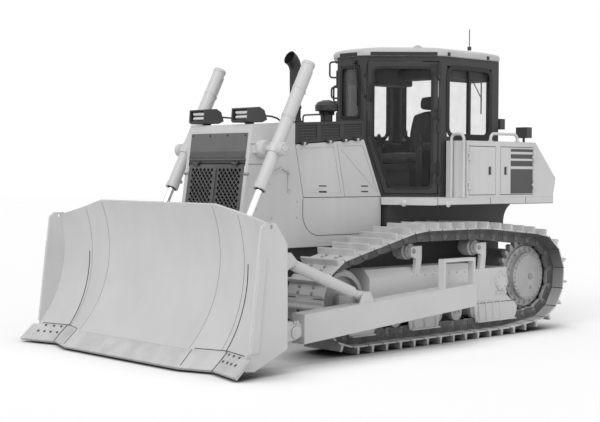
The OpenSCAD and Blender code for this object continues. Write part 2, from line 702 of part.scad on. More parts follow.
module engine_door_rl() color(paint) {
    engine_door(rear_outline, rear_hinges);
    engine_door_rib();
}
module engine_door_fr() color(paint) mirror([0, 1, 0]) engine_door(front_outline, front_hinges);
module engine_door_rr() color(paint) mirror([0, 1, 0]) {
    engine_door(rear_outline, rear_hinges);
    engine_door_rib();
}

// Exhaust stack with a tip that curves forward, and the pre-cleaner bowl
exhaust_st = 2598;
exhaust_r = 63;
exhaust_bend_z = 2800;
exhaust_bend_r = 150;
exhaust_bend_a = 55;
exhaust_foot_r = 88;
exhaust_foot_h = 40;
module exhaust() color(dark) {
    foot_z = hood_top_z(exhaust_st - exhaust_foot_r) + fit;
    translate([at_x(exhaust_st), 0, foot_z]) cylinder(r = exhaust_r, h = exhaust_bend_z - foot_z);
    translate([at_x(exhaust_st), 0, foot_z]) cylinder(r = exhaust_foot_r, h = exhaust_foot_h);
    translate([at_x(exhaust_st) + exhaust_bend_r, 0, exhaust_bend_z]) rotate([90, 0, 0])
        rotate([0, 0, 180 - exhaust_bend_a]) rotate_extrude(angle = exhaust_bend_a)
        translate([exhaust_bend_r, 0]) circle(exhaust_r);
}
cleaner_st = 2142;
cleaner_points_shares = [[0, 0], [0.5, 0], [0.5, 0.45], [1, 0.5], [1, 0.75], [0.8, 0.9], [0.3, 1], [0, 1]];
cleaner_r = 125;
cleaner_h = 228;
module precleaner() color(dark) {
    translate([at_x(cleaner_st), 0, hood_top_z(cleaner_st - cleaner_r / 2) + fit]) rotate_extrude()
        polygon([for (s = cleaner_points_shares) [s[0] * cleaner_r, s[1] * cleaner_h]]);
}

// Headlamps on the nose: tapered housings with a deep bezel and two bulbs' window
lamp_y = 330;
lamp_half_w = 124;
lamp_front_st = 3640;
lamp_l = 252;
lamp_low_z = 2228;
lamp_h = 152;
lamp_bezel_t = 16;
lamp_recess = 55;
lamp_lip = 10;
lamp_profile_shares = [[0, 0.12], [0.08, 0], [0.75, 0.02], [1, 0.2], [0.86, 0.8], [0.62, 1], [0.04, 0.92]];
lamp_foot_half = 30;
module headlamp() {
    difference() {
        plate_y([for (s = lamp_profile_shares) [at_x(lamp_front_st - s[0] * lamp_l),
            lamp_low_z + s[1] * lamp_h]],
            lamp_y - lamp_half_w, lamp_y + lamp_half_w);
        block([at_x(lamp_front_st - lamp_recess), lamp_y - lamp_half_w + lamp_bezel_t,
            lamp_low_z + lamp_bezel_t + lamp_lip],
            [at_x(lamp_front_st) + over, lamp_y + lamp_half_w - lamp_bezel_t,
                lamp_low_z + lamp_h - lamp_bezel_t - lamp_lip]);
    }
    block([at_x(nose_top_st - 4 * lamp_foot_half), lamp_y - lamp_foot_half,
        nose_ridge_z(nose_top_st - 4 * lamp_foot_half) + fit],
        [at_x(nose_top_st - 2 * lamp_foot_half), lamp_y + lamp_foot_half, lamp_low_z + lamp_bezel_t]);
}
module headlamps() color(dark) both_sides() headlamp();

// Platform: deck over the tracks, with its front corners cut beside the engine
platform_front_st = 1820;
platform_corner_st = 1610;
platform_rear_st = -454;
platform_gap = 20;
platform_in = nose_half_w + platform_gap;
platform_cut_gap = 63;
platform_cut_st = skirt_rear_st - platform_cut_gap;
platform_chamfer = 40;
platform_half = [[platform_rear_st, fender_half_w - platform_chamfer],
    [platform_rear_st + platform_chamfer, fender_half_w], [platform_corner_st, fender_half_w],
    [platform_front_st, platform_in], [platform_cut_st, platform_in]];
module platform() color(paint) {
    far_half = [for (k = [len(platform_half) - 1 : -1 : 0]) [platform_half[k][0], -platform_half[k][1]]];
    translate([0, 0, platform_low_z + fit]) linear_extrude(platform_t - fit)
        polygon(at_points(concat(platform_half, far_half)));
}

// Cab: six-sided frame with a window in each wall and a door opening in each slanted wall
cab_plan = at_points([[cab_front_st, -cab_front_half_w], [cab_front_st, cab_front_half_w], [cab_post_st,
    cab_half_w],
    [cab_rear_st, cab_half_w], [cab_rear_st, -cab_half_w], [cab_post_st, -cab_half_w]]);
slant_l = norm([cab_front_st - cab_post_st, cab_half_w - cab_front_half_w]);
slant_a = atan2(cab_front_half_w - cab_half_w, cab_front_st - cab_post_st);
wall_corner = cab_wall_t * tan((90 + slant_a) / 2);
side_corner = cab_wall_t * tan(-slant_a / 2);
cab_inside = at_points([[cab_front_st - cab_wall_t, wall_corner - cab_front_half_w],
    [cab_front_st - cab_wall_t, cab_front_half_w - wall_corner],
    [cab_post_st - side_corner, cab_half_w - cab_wall_t], [cab_rear_st + cab_wall_t,
        cab_half_w - cab_wall_t],
    [cab_rear_st + cab_wall_t, cab_wall_t - cab_half_w], [cab_post_st - side_corner,
        cab_wall_t - cab_half_w]]);
door_low = 14;
door_high = 60;
door_foot_u = 600;
door_knee_z = 2100;
door_post_u = 45;
door_hinge_u = 34;
door_gap = 8;
window_low_z = 2135;
window_top_z = 2900;
front_window_low_z = 2330;
post_w = 95;
rear_post_w = 130;
window_in = 26;
cab_foot_t = 22;
function door_shape(gap) = [
    [door_hinge_u - gap, cab_floor_z + door_low - gap], [door_foot_u + gap / 2,
        cab_floor_z + door_low - gap],
    [slant_l - door_post_u + gap, door_knee_z], [slant_l - door_post_u + gap, cab_top_z - door_high + gap],
    [door_hinge_u - gap, cab_top_z - door_high + gap]];
module on_slant() {
    translate([at_x(cab_post_st), cab_half_w, 0]) rotate([0, 0, slant_a]) rotate([90, 0, 0]) children();
}
module cab_shell() {
    translate([0, 0, platform_z + fit]) linear_extrude(cab_top_z - platform_z - fit) difference() {
        polygon(cab_plan);
        polygon(cab_inside);
    }
    translate([0, 0, platform_z + fit]) linear_extrude(cab_foot_t) polygon(cab_inside);
}
hinge_shares = [0.1, 0.5, 0.9];
function door_span(s) = mix(cab_floor_z + door_low, cab_top_z - door_high, s);
module at_door_hinge() {
    translate([at_x(cab_post_st), cab_half_w, 0]) rotate([0, 0, slant_a])
        translate([door_hinge_u - door_gap / 2, hinge_r + fit, 0]) children();
}
module cab_walls() difference() {
    cab_shell();
    both_sides() on_slant() translate([0, 0,
        -over]) linear_extrude(cab_wall_t + 3 * over) polygon(door_shape(door_gap));
    both_sides() block([at_x(cab_rear_st + rear_post_w), cab_half_w - cab_wall_t - over, window_low_z],
        [at_x(cab_post_st - post_w), cab_half_w + over, window_top_z]);
    block([at_x(cab_rear_st) - over, rear_post_w - cab_half_w, window_low_z],
        [at_x(cab_rear_st + cab_wall_t) + over, cab_half_w - rear_post_w, window_top_z]);
    block([at_x(cab_front_st - cab_wall_t) - over, window_in * 2 - cab_front_half_w, front_window_low_z],
        [at_x(cab_front_st) + over, cab_front_half_w - window_in * 2, window_top_z]);
}
module cab_frame() color(dark) {
    cab_walls();
    both_sides() at_door_hinge() for (s = hinge_shares) hinge_fixed(door_span(s));
}
roof_edge = 30;
roof_edge_h = 60;
roof_crown_in = 170;
roof_plan = at_points([[cab_front_st + roof_edge, -cab_front_half_w - roof_edge],
    [cab_front_st + roof_edge, cab_front_half_w + roof_edge],
    [cab_post_st, cab_half_w + roof_edge], [cab_rear_st - roof_edge, cab_half_w + roof_edge],
    [cab_rear_st - roof_edge, -cab_half_w - roof_edge], [cab_post_st, -cab_half_w - roof_edge]]);
roof_crown = at_points([[cab_front_st - roof_crown_in, -cab_front_half_w], [cab_front_st - roof_crown_in,
    cab_front_half_w],
    [cab_post_st, cab_half_w - roof_crown_in], [cab_rear_st + roof_crown_in, cab_half_w - roof_crown_in],
    [cab_rear_st + roof_crown_in, roof_crown_in - cab_half_w], [cab_post_st, roof_crown_in - cab_half_w]]);
function lifted(points, z) = [for (p = points) [p[0], p[1], z]];
module cab_roof() color(paint) {
    loft([lifted(roof_plan, cab_top_z + fit), lifted(roof_plan, cab_top_z + roof_edge_h),
        lifted(roof_crown, roof_z)]);
}
module cab_glass() color(pane) {
    mid = (cab_wall_t - glass_t) / 2;
    both_sides() block([at_x(cab_rear_st + rear_post_w) + fit, cab_half_w - mid - glass_t,
        window_low_z + fit],
        [at_x(cab_post_st - post_w) - fit, cab_half_w - mid, window_top_z - fit]);
    block([at_x(cab_rear_st) + mid, rear_post_w - cab_half_w + fit, window_low_z + fit],
        [at_x(cab_rear_st) + mid + glass_t, cab_half_w - rear_post_w - fit, window_top_z - fit]);
    block([at_x(cab_front_st) - mid - glass_t, window_in * 2 - cab_front_half_w + fit,
        front_window_low_z + fit],
        [at_x(cab_front_st) - mid, cab_front_half_w - window_in * 2 - fit, window_top_z - fit]);
}

// Cab doors: slant-footed frames hung on the door posts, each with one pane
door_rim = 62;
door_pane = [[door_hinge_u + door_rim, cab_floor_z + door_low + door_rim],
    [door_foot_u - door_rim / 2, cab_floor_z + door_low + door_rim],
    [slant_l - door_post_u - door_rim, door_knee_z], [slant_l - door_post_u - door_rim,
        cab_top_z - door_high - door_rim],
    [door_hinge_u + door_rim, cab_top_z - door_high - door_rim]];
module cab_door() {
    on_slant() difference() {
        linear_extrude(cab_wall_t) polygon(door_shape(0));
        translate([0, 0, -over]) linear_extrude(cab_wall_t + 2 * over) polygon(door_pane);
    }
    at_door_hinge() for (s = hinge_shares) hinge_moving(door_span(s));
}
module door_pane_solid() {
    inner = inset5(door_pane, fit);
    on_slant() translate([0, 0, (cab_wall_t - glass_t) / 2]) linear_extrude(glass_t) polygon(inner);
}
function inset5(points, d) = let (c = [slant_l / 2, (cab_floor_z + cab_top_z) / 2])
    [for (p = points) p + [sign(c[0] - p[0]) * d, sign(c[1] - p[1]) * d]];
module cab_door_l() color(dark) cab_door();
module cab_door_r() color(dark) mirror([0, 1, 0]) cab_door();
module door_glass_l() color(pane) door_pane_solid();
module door_glass_r() color(pane) mirror([0, 1, 0]) door_pane_solid();

// Seat and console inside the cab
cab_deck_z = platform_z + fit + cab_foot_t;
seat_st = 620;
seat_half_w = 260;
seat_base_h = 330;
seat_pan_l = 520;
seat_pan_h = 130;
seat_back_t = 130;
seat_back_h = 720;
arm_rest_w = 90;
arm_rest_h = 250;
arm_rest_l = 430;
module seat() color(dark) {
    plate_y(at_points([[seat_st, cab_deck_z + fit], [seat_st + seat_pan_l, cab_deck_z + fit],
        [seat_st + seat_pan_l, cab_deck_z + seat_base_h + seat_pan_h], [seat_st + seat_back_t,
            cab_deck_z + seat_base_h + seat_pan_h],
        [seat_st, cab_deck_z + seat_base_h + seat_pan_h + seat_back_h],
        [seat_st - seat_back_t, cab_deck_z + seat_base_h + seat_pan_h + seat_back_h],
        [seat_st - seat_back_t / 2, cab_deck_z + seat_base_h]]), -seat_half_w, seat_half_w);
    for (y = [-seat_half_w - arm_rest_w - fit, seat_half_w + fit])
        block([at_x(seat_st), y, cab_deck_z + fit],
            [at_x(seat_st + arm_rest_l), y + arm_rest_w, cab_deck_z + seat_base_h + arm_rest_h]);
}
console_half_w = 120;
console_l = 210;
console_z = 2250;
console_lip = 20;
module console() color(dark) {
    front = cab_front_st - cab_wall_t - fit;
    plate_y(at_points([[front, cab_deck_z + fit], [front, console_z + console_lip],
        [front - console_l / 2, console_z],
        [front - console_l, console_z - console_l], [front - console_l / 2, cab_deck_z + fit]]),
            -console_half_w, console_half_w);
}

// Fender boxes: sheet boxes beside the cab with a sloping tail and two door openings
box_front_st = 1120;
box_tail_top_st = -70;
box_tail_st = -455;
box_tail_z = 1695;
box_tail_foot_st = -407;
box_gap = 12;
box_in = cab_half_w + box_gap;
door_low_z = 1520;
box_door_top_z = 2034;
box_door_f_st = [640, 1080];
box_door_r_st = [-31, 549];
box_wall_st = 594;
box_edge = 6;
function box_outline(t) = at_points([[box_front_st - t, platform_z + fit + t], [box_front_st - t,
    box_top_z - t],
    [box_tail_top_st + t / 2, box_top_z - t], [box_tail_st + t, box_tail_z + t / 2],
        [box_tail_foot_st + t, platform_z + fit + t]]);
module fender_box() difference() {
    plate_y(box_outline(0), box_in, fender_half_w);
    difference() {
        plate_y(box_outline(box_t), box_in + box_t, fender_half_w - box_t);
        block([at_x(box_wall_st - box_t / 2), box_in, platform_z], [at_x(box_wall_st + box_t / 2),
            fender_half_w, box_top_z]);
    }
    for (st = [box_door_f_st, box_door_r_st])
        block([at_x(st[0]) - box_edge, fender_half_w - box_t - over, door_low_z - box_edge],
            [at_x(st[1]) + box_edge, fender_half_w + over, box_door_top_z + box_edge]);
}
box_hinge_shares = [0.2, 0.8];
module at_front_hinge() {
    translate([at_x(box_door_f_st[1]) + box_edge / 2, fender_half_w + hinge_r + fit, 0]) rotate([0, 180,
        0]) children();
}
module at_rear_hinge() {
    translate([at_x(box_door_r_st[0]) - box_edge / 2, fender_half_w + hinge_r + fit, 0]) children();
}
function box_span(s) = mix(door_low_z, box_door_top_z, s);
module fender_boxes() color(paint) both_sides() {
    fender_box();
    for (s = box_hinge_shares) {
        at_front_hinge() hinge_fixed(-box_span(s));
        at_rear_hinge() hinge_fixed(box_span(s));
    }
}
box_handle_w = 26;
box_handle_h = 90;
box_handle_in = 90;
handle_depth = 12;
module box_door(st, handle_st) difference() {
    block([at_x(st[0]), fender_half_w - box_t, door_low_z], [at_x(st[1]), fender_half_w, box_door_top_z]);
    block([at_x(handle_st) - box_handle_w, fender_half_w - handle_depth,
        (door_low_z + box_door_top_z) / 2 - box_handle_h / 2],
        [at_x(handle_st) + box_handle_w, fender_half_w + over,
            (door_low_z + box_door_top_z) / 2 + box_handle_h / 2]);
}
module front_box_door() {
    box_door(box_door_f_st, box_door_f_st[0] + box_handle_in);
    at_front_hinge() for (s = box_hinge_shares) hinge_moving(-box_span(s));
}
module rear_box_door() {
    box_door(box_door_r_st, box_door_r_st[1] - box_handle_in);
    at_rear_hinge() for (s = box_hinge_shares) hinge_moving(box_span(s));
}
module box_door_fl() color(paint) front_box_door();
module box_door_rl() color(paint) rear_box_door();
module box_door_fr() color(paint) mirror([0, 1, 0]) front_box_door();
module box_door_rr() color(paint) mirror([0, 1, 0]) rear_box_door();

// Rear tank between the fender boxes, rear lamps, grab rails, antenna and drawbar
tank_front_st = 190;
tank_rear_st = -400;
tank_half_w = 770;
tank_top_z = 2060;
tank_slope = 230;
tank_round = 90;
module rear_tank() color(paint) {
    plate_y(at_points([[tank_front_st, platform_z + fit], [tank_front_st, tank_top_z],
        [tank_rear_st + tank_slope, tank_top_z],
        [tank_rear_st + tank_round, tank_top_z - tank_round], [tank_rear_st, tank_top_z - tank_slope],
        [tank_rear_st, platform_z + fit]]), -tank_half_w, tank_half_w);
}
rear_lamp_st = 5;
rear_lamp_y = 940;
rear_lamp_in_y = 560;
rear_lamp_half_w = 78;
rear_lamp_half_h = 60;
rear_lamp_l = 90;
rear_lamp_stem_h = 52;
rear_lamp_tall_h = 190;
rear_lamp_stem_r = 14;
rear_lamp_recess = 20;
module rear_lamp(y, foot_z, stem_h) {
    x = at_x(rear_lamp_st);
    low_z = foot_z + stem_h;
    top_z = low_z + 2 * rear_lamp_half_h;
    translate([x - rear_lamp_l / 2, y, foot_z + fit]) cylinder(r = rear_lamp_stem_r, h = stem_h);
    difference() {
        block([x - rear_lamp_l, y - rear_lamp_half_w, low_z], [x, y + rear_lamp_half_w, top_z]);
        block([x - rear_lamp_l - over, y - rear_lamp_half_w + lamp_bezel_t, low_z + lamp_bezel_t],
            [x - rear_lamp_l + rear_lamp_recess, y + rear_lamp_half_w - lamp_bezel_t,
                top_z - lamp_bezel_t]);
    }
}
module rear_lamps() color(dark) {
    both_sides() rear_lamp(rear_lamp_y, box_top_z, rear_lamp_stem_h);
    rear_lamp(rear_lamp_in_y, tank_top_z, rear_lamp_tall_h);
}
rail_r = 16;
rail_bend_r = 60;
rail_out = 34;
rail_set = 55;
rail_top_z = 2165;
rail_rear_l = 470;
rail_rear_st = 190;
rail_low_h = 24;
module hoop(w, h, r) {
    for (x = [0, w]) translate([x, 0, 0]) cylinder(r = r, h = h - rail_bend_r);
    translate([rail_bend_r, 0, h]) rotate([0, 90, 0]) cylinder(r = r, h = w - 2 * rail_bend_r);
    for (k = [0, 1]) translate([k == 0 ? rail_bend_r : w - rail_bend_r, 0, h - rail_bend_r])
        rotate([90, 0, 0]) rotate([0, 0, 90 - 90 * k]) rotate_extrude(angle = 90) translate([rail_bend_r,
            0]) circle(r);
}
rail_stand = 170;
module grab_rails() color(paint) both_sides() {
    translate([at_x(box_front_st) + rail_out, fender_half_w - rail_stand - rail_r, platform_z + fit])
        rotate([0, 0, 90]) hoop(rail_stand, rail_top_z - platform_z - fit, rail_r);
    translate([at_x(rail_rear_st), fender_half_w - rail_set, box_top_z + fit])
        hoop(rail_rear_l, rail_low_h + rail_bend_r, rail_r);
}
antenna_z = 3360;
antenna_r = 5;
antenna_st = 420;
antenna_y = 520;
antenna_foot_r = 22;
antenna_foot_h = 40;
module antenna() color(dark) {
    translate([at_x(antenna_st), antenna_y, roof_z + fit]) cylinder(r = antenna_foot_r, h = antenna_foot_h);
    translate([at_x(antenna_st), antenna_y, roof_z + fit]) cylinder(r = antenna_r,
        h = antenna_z - roof_z - fit);
}
drawbar_l = 235;
drawbar_half_w = 170;
drawbar_low_z = 575;
drawbar_gap = 90;
drawbar_t = 45;
drawbar_pin_r = 28;
drawbar_eye = 70;
module drawbar() color(paint) difference() {
    for (z = [drawbar_low_z, drawbar_low_z + drawbar_t + drawbar_gap])
        translate([0, 0, z]) linear_extrude(drawbar_t) polygon(at_points([
            [hull_rear_st - fit, -drawbar_half_w], [hull_rear_st - fit, drawbar_half_w],
            [hull_rear_st - drawbar_l, drawbar_half_w / 2], [hull_rear_st - drawbar_l,
                -drawbar_half_w / 2]]));
    translate([at_x(hull_rear_st - drawbar_l + drawbar_eye), 0, drawbar_low_z - over])
        cylinder(r = drawbar_pin_r, h = 2 * drawbar_t + drawbar_gap + 2 * over);
}

// Blade: moldboard lofted from the straight centre to the swept wings
centre_half_w = 900;
wing_y = 1240;
end_in_y = 1640;
end_top_z = 1297;
end_forward = 40;
mold_steps = 12;
edge_dir = [cos(edge_angle), -sin(edge_angle)];
edge_face = [sin(edge_angle), cos(edge_angle)];
edge_tip = [edge_x, edge_z];
edge_root = edge_tip - edge_l * edge_dir;
mold_c = edge_root + mold_r * edge_face;
mold_low_a = 270 - edge_angle;
function mix(a, b, s) = a + (b - a) * s;
function share_of(y, y0, y1) = max(0, min(1, (abs(y) - y0) / (y1 - y0)));
function top_at(y) = mix(mold_top_z, end_top_z, share_of(y, centre_half_w, end_in_y));
function top_angle(y) = 180 - asin((top_at(y) - mold_c[1]) / mold_r);
bit_forward = wing_back * (end_in_y - wing_y) / (blade_w / 2 - wing_y);
function back_at(y, s) = let (foot = s * s, out = share_of(y, wing_y, end_in_y))
    (bit_forward * out - wing_back * share_of(y, centre_half_w,
        wing_y)) * foot + end_forward * out * (1 - foot);
function mold_point(y, s, depth) = let (a = mix(top_angle(y), mold_low_a, s), p = on_circle(mold_c,
    mold_r + depth, a))
    [p[0] + back_at(y, s), y, p[1]];
function mold_section(y) = concat(
    [for (k = [0 : mold_steps]) mold_point(y, k / mold_steps, 0)],
    [for (k = [mold_steps : -1 : 0]) mold_point(y, k / mold_steps, mold_t)]);
mold_cuts = 4;
mold_ys = concat([for (k = [0 : mold_cuts - 1]) mix(centre_half_w, wing_y, k / mold_cuts)],
    [for (k = [0 : mold_cuts]) mix(wing_y, end_in_y, k / mold_cuts)]);
function moved(points, y) = [for (p = points) p + [0, y, 0]];
module moldboard() color(paint) difference() {
    last = len(mold_ys) - 1;
    loft(concat([moved(mold_section(-end_in_y), -over)],
        [for (k = [last : -1 : 0]) mold_section(-mold_ys[k])],
        [for (y = mold_ys) mold_section(y)], [moved(mold_section(end_in_y), over)]));
    both_sides() block([0, end_in_y, -over], [edge_x + over, end_in_y + 2 * over, mold_top_z + over]);
}

// Cutting edges: straight centre edge, swept wing edges and end bits
edge_half_w = centre_half_w;
function edge_section(y, x, z, l) = let (tip = [x, z], root = tip - (l - fit) * edge_dir,
    low = edge_t * edge_face) [
    [root[0], y, root[1]], [tip[0], y, tip[1]], [tip[0] - low[0], y, tip[1] - low[1]], [root[0] - low[0],
        y, root[1] - low[1]]];
module cutting_edges() color(steel) {
    both_sides() loft([edge_section(edge_half_w, edge_x, edge_z, edge_l), edge_section(wing_y - fit,
        edge_x - wing_back, edge_z, edge_l)]);
    loft([edge_section(-edge_half_w + fit, edge_x, edge_z, edge_l), edge_section(edge_half_w - fit,
        edge_x, edge_z, edge_l)]);
    both_sides() loft([edge_section(wing_y + fit, edge_x - wing_back, edge_z, edge_l),
        edge_section(blade_w / 2, edge_x, edge_z, edge_l)]);
}

// Blade frame: ribs, beams, end plates and the ears for the arms, braces and lift rods
end_t = 28;
ear_gap = 100;
ear_t = 30;
lug_gap = 118;
lug_t = 28;
pin_r = 36;
pin_boss_r = 68;
lift_pin = [edge_x - lift_pin_back, lift_pin_z];
arm_pin = [edge_x - arm_pin_back, arm_pin_z];
brace_pin_back = 862;
brace_pin_z = 969;
brace_pin = [edge_x - brace_pin_back, brace_pin_z];
function back_edge(y, s0, s1) = [for (k = [0 : mold_steps]) let (s = mix(s0, s1, k / mold_steps),
    p = mold_point(y, s, mold_t + fit)) [p[0], p[2]]];
module ear(y0, y1, pin, s0, s1, r) {
    y_near = abs(y0) < abs(y1) ? y0 : y1;
    y_far = abs(y0) < abs(y1) ? y1 : y0;
    near = back_edge(y_near, s0, s1);
    far = back_edge(y_far, s0, s1);
    edge = [for (k = [0 : mold_steps]) [min(near[k][0], far[k][0]) - fit, near[k][1]]];
    plate_y(concat(edge, [pin + [0, -r], pin + [-r, 0], pin + [0, r]]), min(y0, y1), max(y0, y1));
}
module ear_pair(y, gap, t, pin, s0, s1, r) {
    ear(y - gap - t, y - gap, pin, s0, s1, r);
    ear(y + gap, y + gap + t, pin, s0, s1, r);
}
end_plate_shares = [[0.59, 1], [0.77, 1], [0.99, 0.86], [1, 0.17], [0.394, 0.047], [0.219, 0.055],
    [0.219, 0.068],
    [0.33, 0.114], [0.33, 0.144], [0.312, 0.177], [0.511, 0.967]];
end_l = 622;
end_h = 1319;
tab_back = 429;
tab_hole_z = 1285;
tab_hole_r = 18;
module end_plate() difference() {
    plate_y([for (s = end_plate_shares) [edge_x - s[0] * end_l, s[1] * end_h]], end_in_y + fit,
        end_in_y + fit + end_t);
    bar_y(edge_x - tab_back, tab_hole_z, tab_hole_r, end_in_y - over, end_in_y + end_t + over);
}
top_beam_shares = [0.05, 0.2];
low_beam_shares = [0.72, 0.92];
beam_back = 70;
beam_half_w = 520;
module beam(shares) {
    edge = back_edge(0, shares[0], shares[1]);
    last = len(edge) - 1;
    plate_y(concat(edge, [edge[last] - [beam_back, 0], edge[0] - [beam_back, 0]]), -beam_half_w,
        beam_half_w);
}
arm_ear_shares = [0.62, 0.97];
brace_ear_shares = [0.28, 0.48];
lug_shares = [0.42, 0.72];
module blade_frame() color(paint) {
    both_sides() {
        ear_pair(arm_y, ear_gap, ear_t, arm_pin, arm_ear_shares[0], arm_ear_shares[1], pin_boss_r);
        ear_pair(arm_y, ear_gap, ear_t, brace_pin, brace_ear_shares[0], brace_ear_shares[1], pin_boss_r);
        ear_pair(lift_y, lug_gap, lug_t, lift_pin, lug_shares[0], lug_shares[1], pin_boss_r);
        end_plate();
    }
    beam(top_beam_shares);
    beam(low_beam_shares);
    bar_y(arm_pin[0], arm_pin[1], pin_r, -arm_y - ear_gap - ear_t, -arm_y + ear_gap + ear_t);
    translate([arm_pin[0], -arm_y, arm_pin[1]]) sphere(ball_front_r);
}
ball_front_r = 62;

// Push arms: box arms with a ball socket behind and an eye or socket in front
arm_rear_half_h = 118;
arm_front_half_h = 135;
arm_front_back = 150;
arm_rear_over = 118;
socket_r = ball_r + fit;
neck_clear_r = 66;
eye_r = 92;
eye_half_w = 45;
brace_lug_back = 1905;
brace_lug_z = 571;
brace_lug = [edge_x - brace_lug_back, brace_lug_z];
brace_lug_gap = 48;
brace_lug_t = 26;
brace_lug_foot = 150;
eye_clear = 8;
trunnion_p = [at_x(trunnion_st), trunnion_z];
step_l = 500;
step_rear = 96;
step_out = 45;
step_h = 275;
step_w = 70;
step_t = 34;
module arm_box() {
    front_x = arm_pin[0] - arm_front_back;
    rear_x = trunnion_p[0] - arm_rear_over;
    slope = (arm_pin[1] - trunnion_p[1]) / (arm_pin[0] - trunnion_p[0]);
    front_z = trunnion_p[1] + slope * (front_x - trunnion_p[0]);
    rear_z = trunnion_p[1] + slope * (rear_x - trunnion_p[0]);
    plate_y([[rear_x, rear_z - arm_rear_half_h], [front_x, front_z - arm_front_half_h], [front_x,
        front_z + arm_front_half_h],
        [rear_x, rear_z + arm_rear_half_h]], arm_y - arm_w / 2, arm_y + arm_w / 2);
    plate_y([[front_x - arm_front_back, front_z - arm_rear_half_h / 2], arm_pin + [0, -eye_r * 3 / 4],
        arm_pin + [0, eye_r * 3 / 4],
        [front_x - arm_front_back, front_z + arm_rear_half_h / 2]], arm_y - eye_half_w, arm_y + eye_half_w);
    bar_y(arm_pin[0], arm_pin[1], eye_r, arm_y - eye_half_w, arm_y + eye_half_w);
    for (y = [arm_y - brace_lug_gap - brace_lug_t, arm_y + brace_lug_gap])
        plate_y([brace_lug + [-brace_lug_foot, -brace_lug_foot], brace_lug + [brace_lug_foot,
            -brace_lug_foot],
            brace_lug + [pin_boss_r / 2, pin_boss_r * 3 / 4], brace_lug + [-pin_boss_r / 2,
                pin_boss_r * 3 / 4]], y, y + brace_lug_t);
    top_z = trunnion_p[1] + arm_rear_half_h;
    step_x = trunnion_p[0] - step_rear;
    plate_y([[step_x, top_z - over], [step_x, top_z + step_h], [step_x + step_l, top_z + step_h],
        [step_x + step_l, top_z - 2 * over],
        [step_x + step_l - step_t, top_z - 2 * over], [step_x + step_l - step_t, top_z + step_h - step_t],
        [step_x + step_t, top_z + step_h - step_t], [step_x + step_t, top_z - over]],
        arm_y + step_out - step_w / 2, arm_y + step_out + step_w / 2);
}
module arm_sockets() {
    bar_y(brace_lug[0], brace_lug[1], brace_eye_r + eye_clear, arm_y - brace_lug_gap,
        arm_y + brace_lug_gap);
    translate([trunnion_p[0], arm_y, trunnion_p[1]]) sphere(socket_r);
    bar_y(trunnion_p[0], trunnion_p[1], neck_clear_r, arm_y - arm_w, arm_y);
}
module push_arm_l() color(paint) {
    difference() {
        arm_box();
        arm_sockets();
        bar_y(arm_pin[0], arm_pin[1], pin_r + run_fit, arm_y - 2 * eye_half_w, arm_y + 2 * eye_half_w);
    }
    bar_y(arm_pin[0], arm_pin[1], pin_r, arm_y - ear_gap + fit, arm_y + ear_gap - fit);
}
front_neck_r = 56;
module push_arm_r() color(paint) mirror([0, 1, 0]) {
    right_arm();
    bar_y(brace_lug[0], brace_lug[1], tilt_pin_r, arm_y - brace_lug_gap - brace_lug_t,
        arm_y + brace_lug_gap + brace_lug_t);
    translate(brace_from) sphere(tilt_ball_r);
}
module right_arm() difference() {
    arm_box();
    arm_sockets();
    translate([arm_pin[0], arm_y, arm_pin[1]]) sphere(ball_front_r + fit);
    bar_y(arm_pin[0], arm_pin[1], front_neck_r, arm_y - 2 * eye_half_w, arm_y + 2 * eye_half_w);
}

// Brace on the left and tilt cylinder on the right, from the arm's lug to the blade's ears
brace_r = 52;
brace_screw_r = 38;
brace_screw_l = 150;
brace_eye_r = 56;
brace_eye_half_w = 40;
function at_arm(p) = [p[0], arm_y, p[1]];
brace_from = at_arm(brace_lug);
brace_to = at_arm(brace_pin);
brace_dir = (brace_to - brace_from) / norm(brace_to - brace_from);
module brace_eyes(at_low, at_high) {
    for (p = concat(at_low ? [brace_lug] : [], at_high ? [brace_pin] : []))
        bar_y(p[0], p[1], brace_eye_r, arm_y - brace_eye_half_w, arm_y + brace_eye_half_w);
}
module brace_l() color(paint) {
    brace_eyes(true, true);
    bar_y(brace_lug[0], brace_lug[1], pin_r, arm_y - brace_lug_gap + fit, arm_y + brace_lug_gap - fit);
    bar_y(brace_pin[0], brace_pin[1], pin_r, arm_y - ear_gap + fit, arm_y + ear_gap - fit);
    bar(brace_from, brace_to, brace_screw_r);
    bar(brace_from + brace_dir * brace_screw_l, brace_to - brace_dir * brace_screw_l, brace_r);
}
tilt_ball_r = 42;
tilt_neck_r = 35;
tilt_pin_r = 28;
tilt_barrel_r = 72;
tilt_bore_r = 50;
tilt_rod_r = 38;
tilt_head = 240;
tilt_barrel_l = 600;
tilt_gland_l = 60;
tilt_piston_l = 70;
tilt_in = 300;
module tilt_barrel() color(paint) mirror([0, 1, 0]) difference() {
    union() {
        brace_eyes(true, false);
        bar(brace_from, brace_from + brace_dir * tilt_head, brace_screw_r);
        bar(brace_from + brace_dir * (tilt_head / 2),
            brace_from + brace_dir * (tilt_head / 2 + tilt_barrel_l), tilt_barrel_r);
    }
    bar(brace_from + brace_dir * tilt_head,
        brace_from + brace_dir * (tilt_head / 2 + tilt_barrel_l - tilt_gland_l), tilt_bore_r);
    bar(brace_from + brace_dir * tilt_head, brace_to, tilt_rod_r + run_fit);
    translate(brace_from) sphere(tilt_ball_r + fit);
    bar_y(brace_lug[0], brace_lug[1], tilt_neck_r, arm_y - 2 * brace_eye_half_w,
        arm_y + 2 * brace_eye_half_w);
}
module tilt_rod() color(steel) mirror([0, 1, 0]) difference() {
    tilt_rod_solid();
    bar_y(brace_pin[0], brace_pin[1], pin_r, arm_y - 2 * brace_eye_half_w, arm_y + 2 * brace_eye_half_w);
}
module tilt_rod_solid() {
    brace_eyes(false, true);
    bar(brace_from + brace_dir * (tilt_head + tilt_in / 2), brace_to, tilt_rod_r);
    bar(brace_from + brace_dir * (tilt_head + tilt_in / 2),
        brace_from + brace_dir * (tilt_head + tilt_in / 2 + tilt_piston_l),
        tilt_bore_r - run_fit);
}

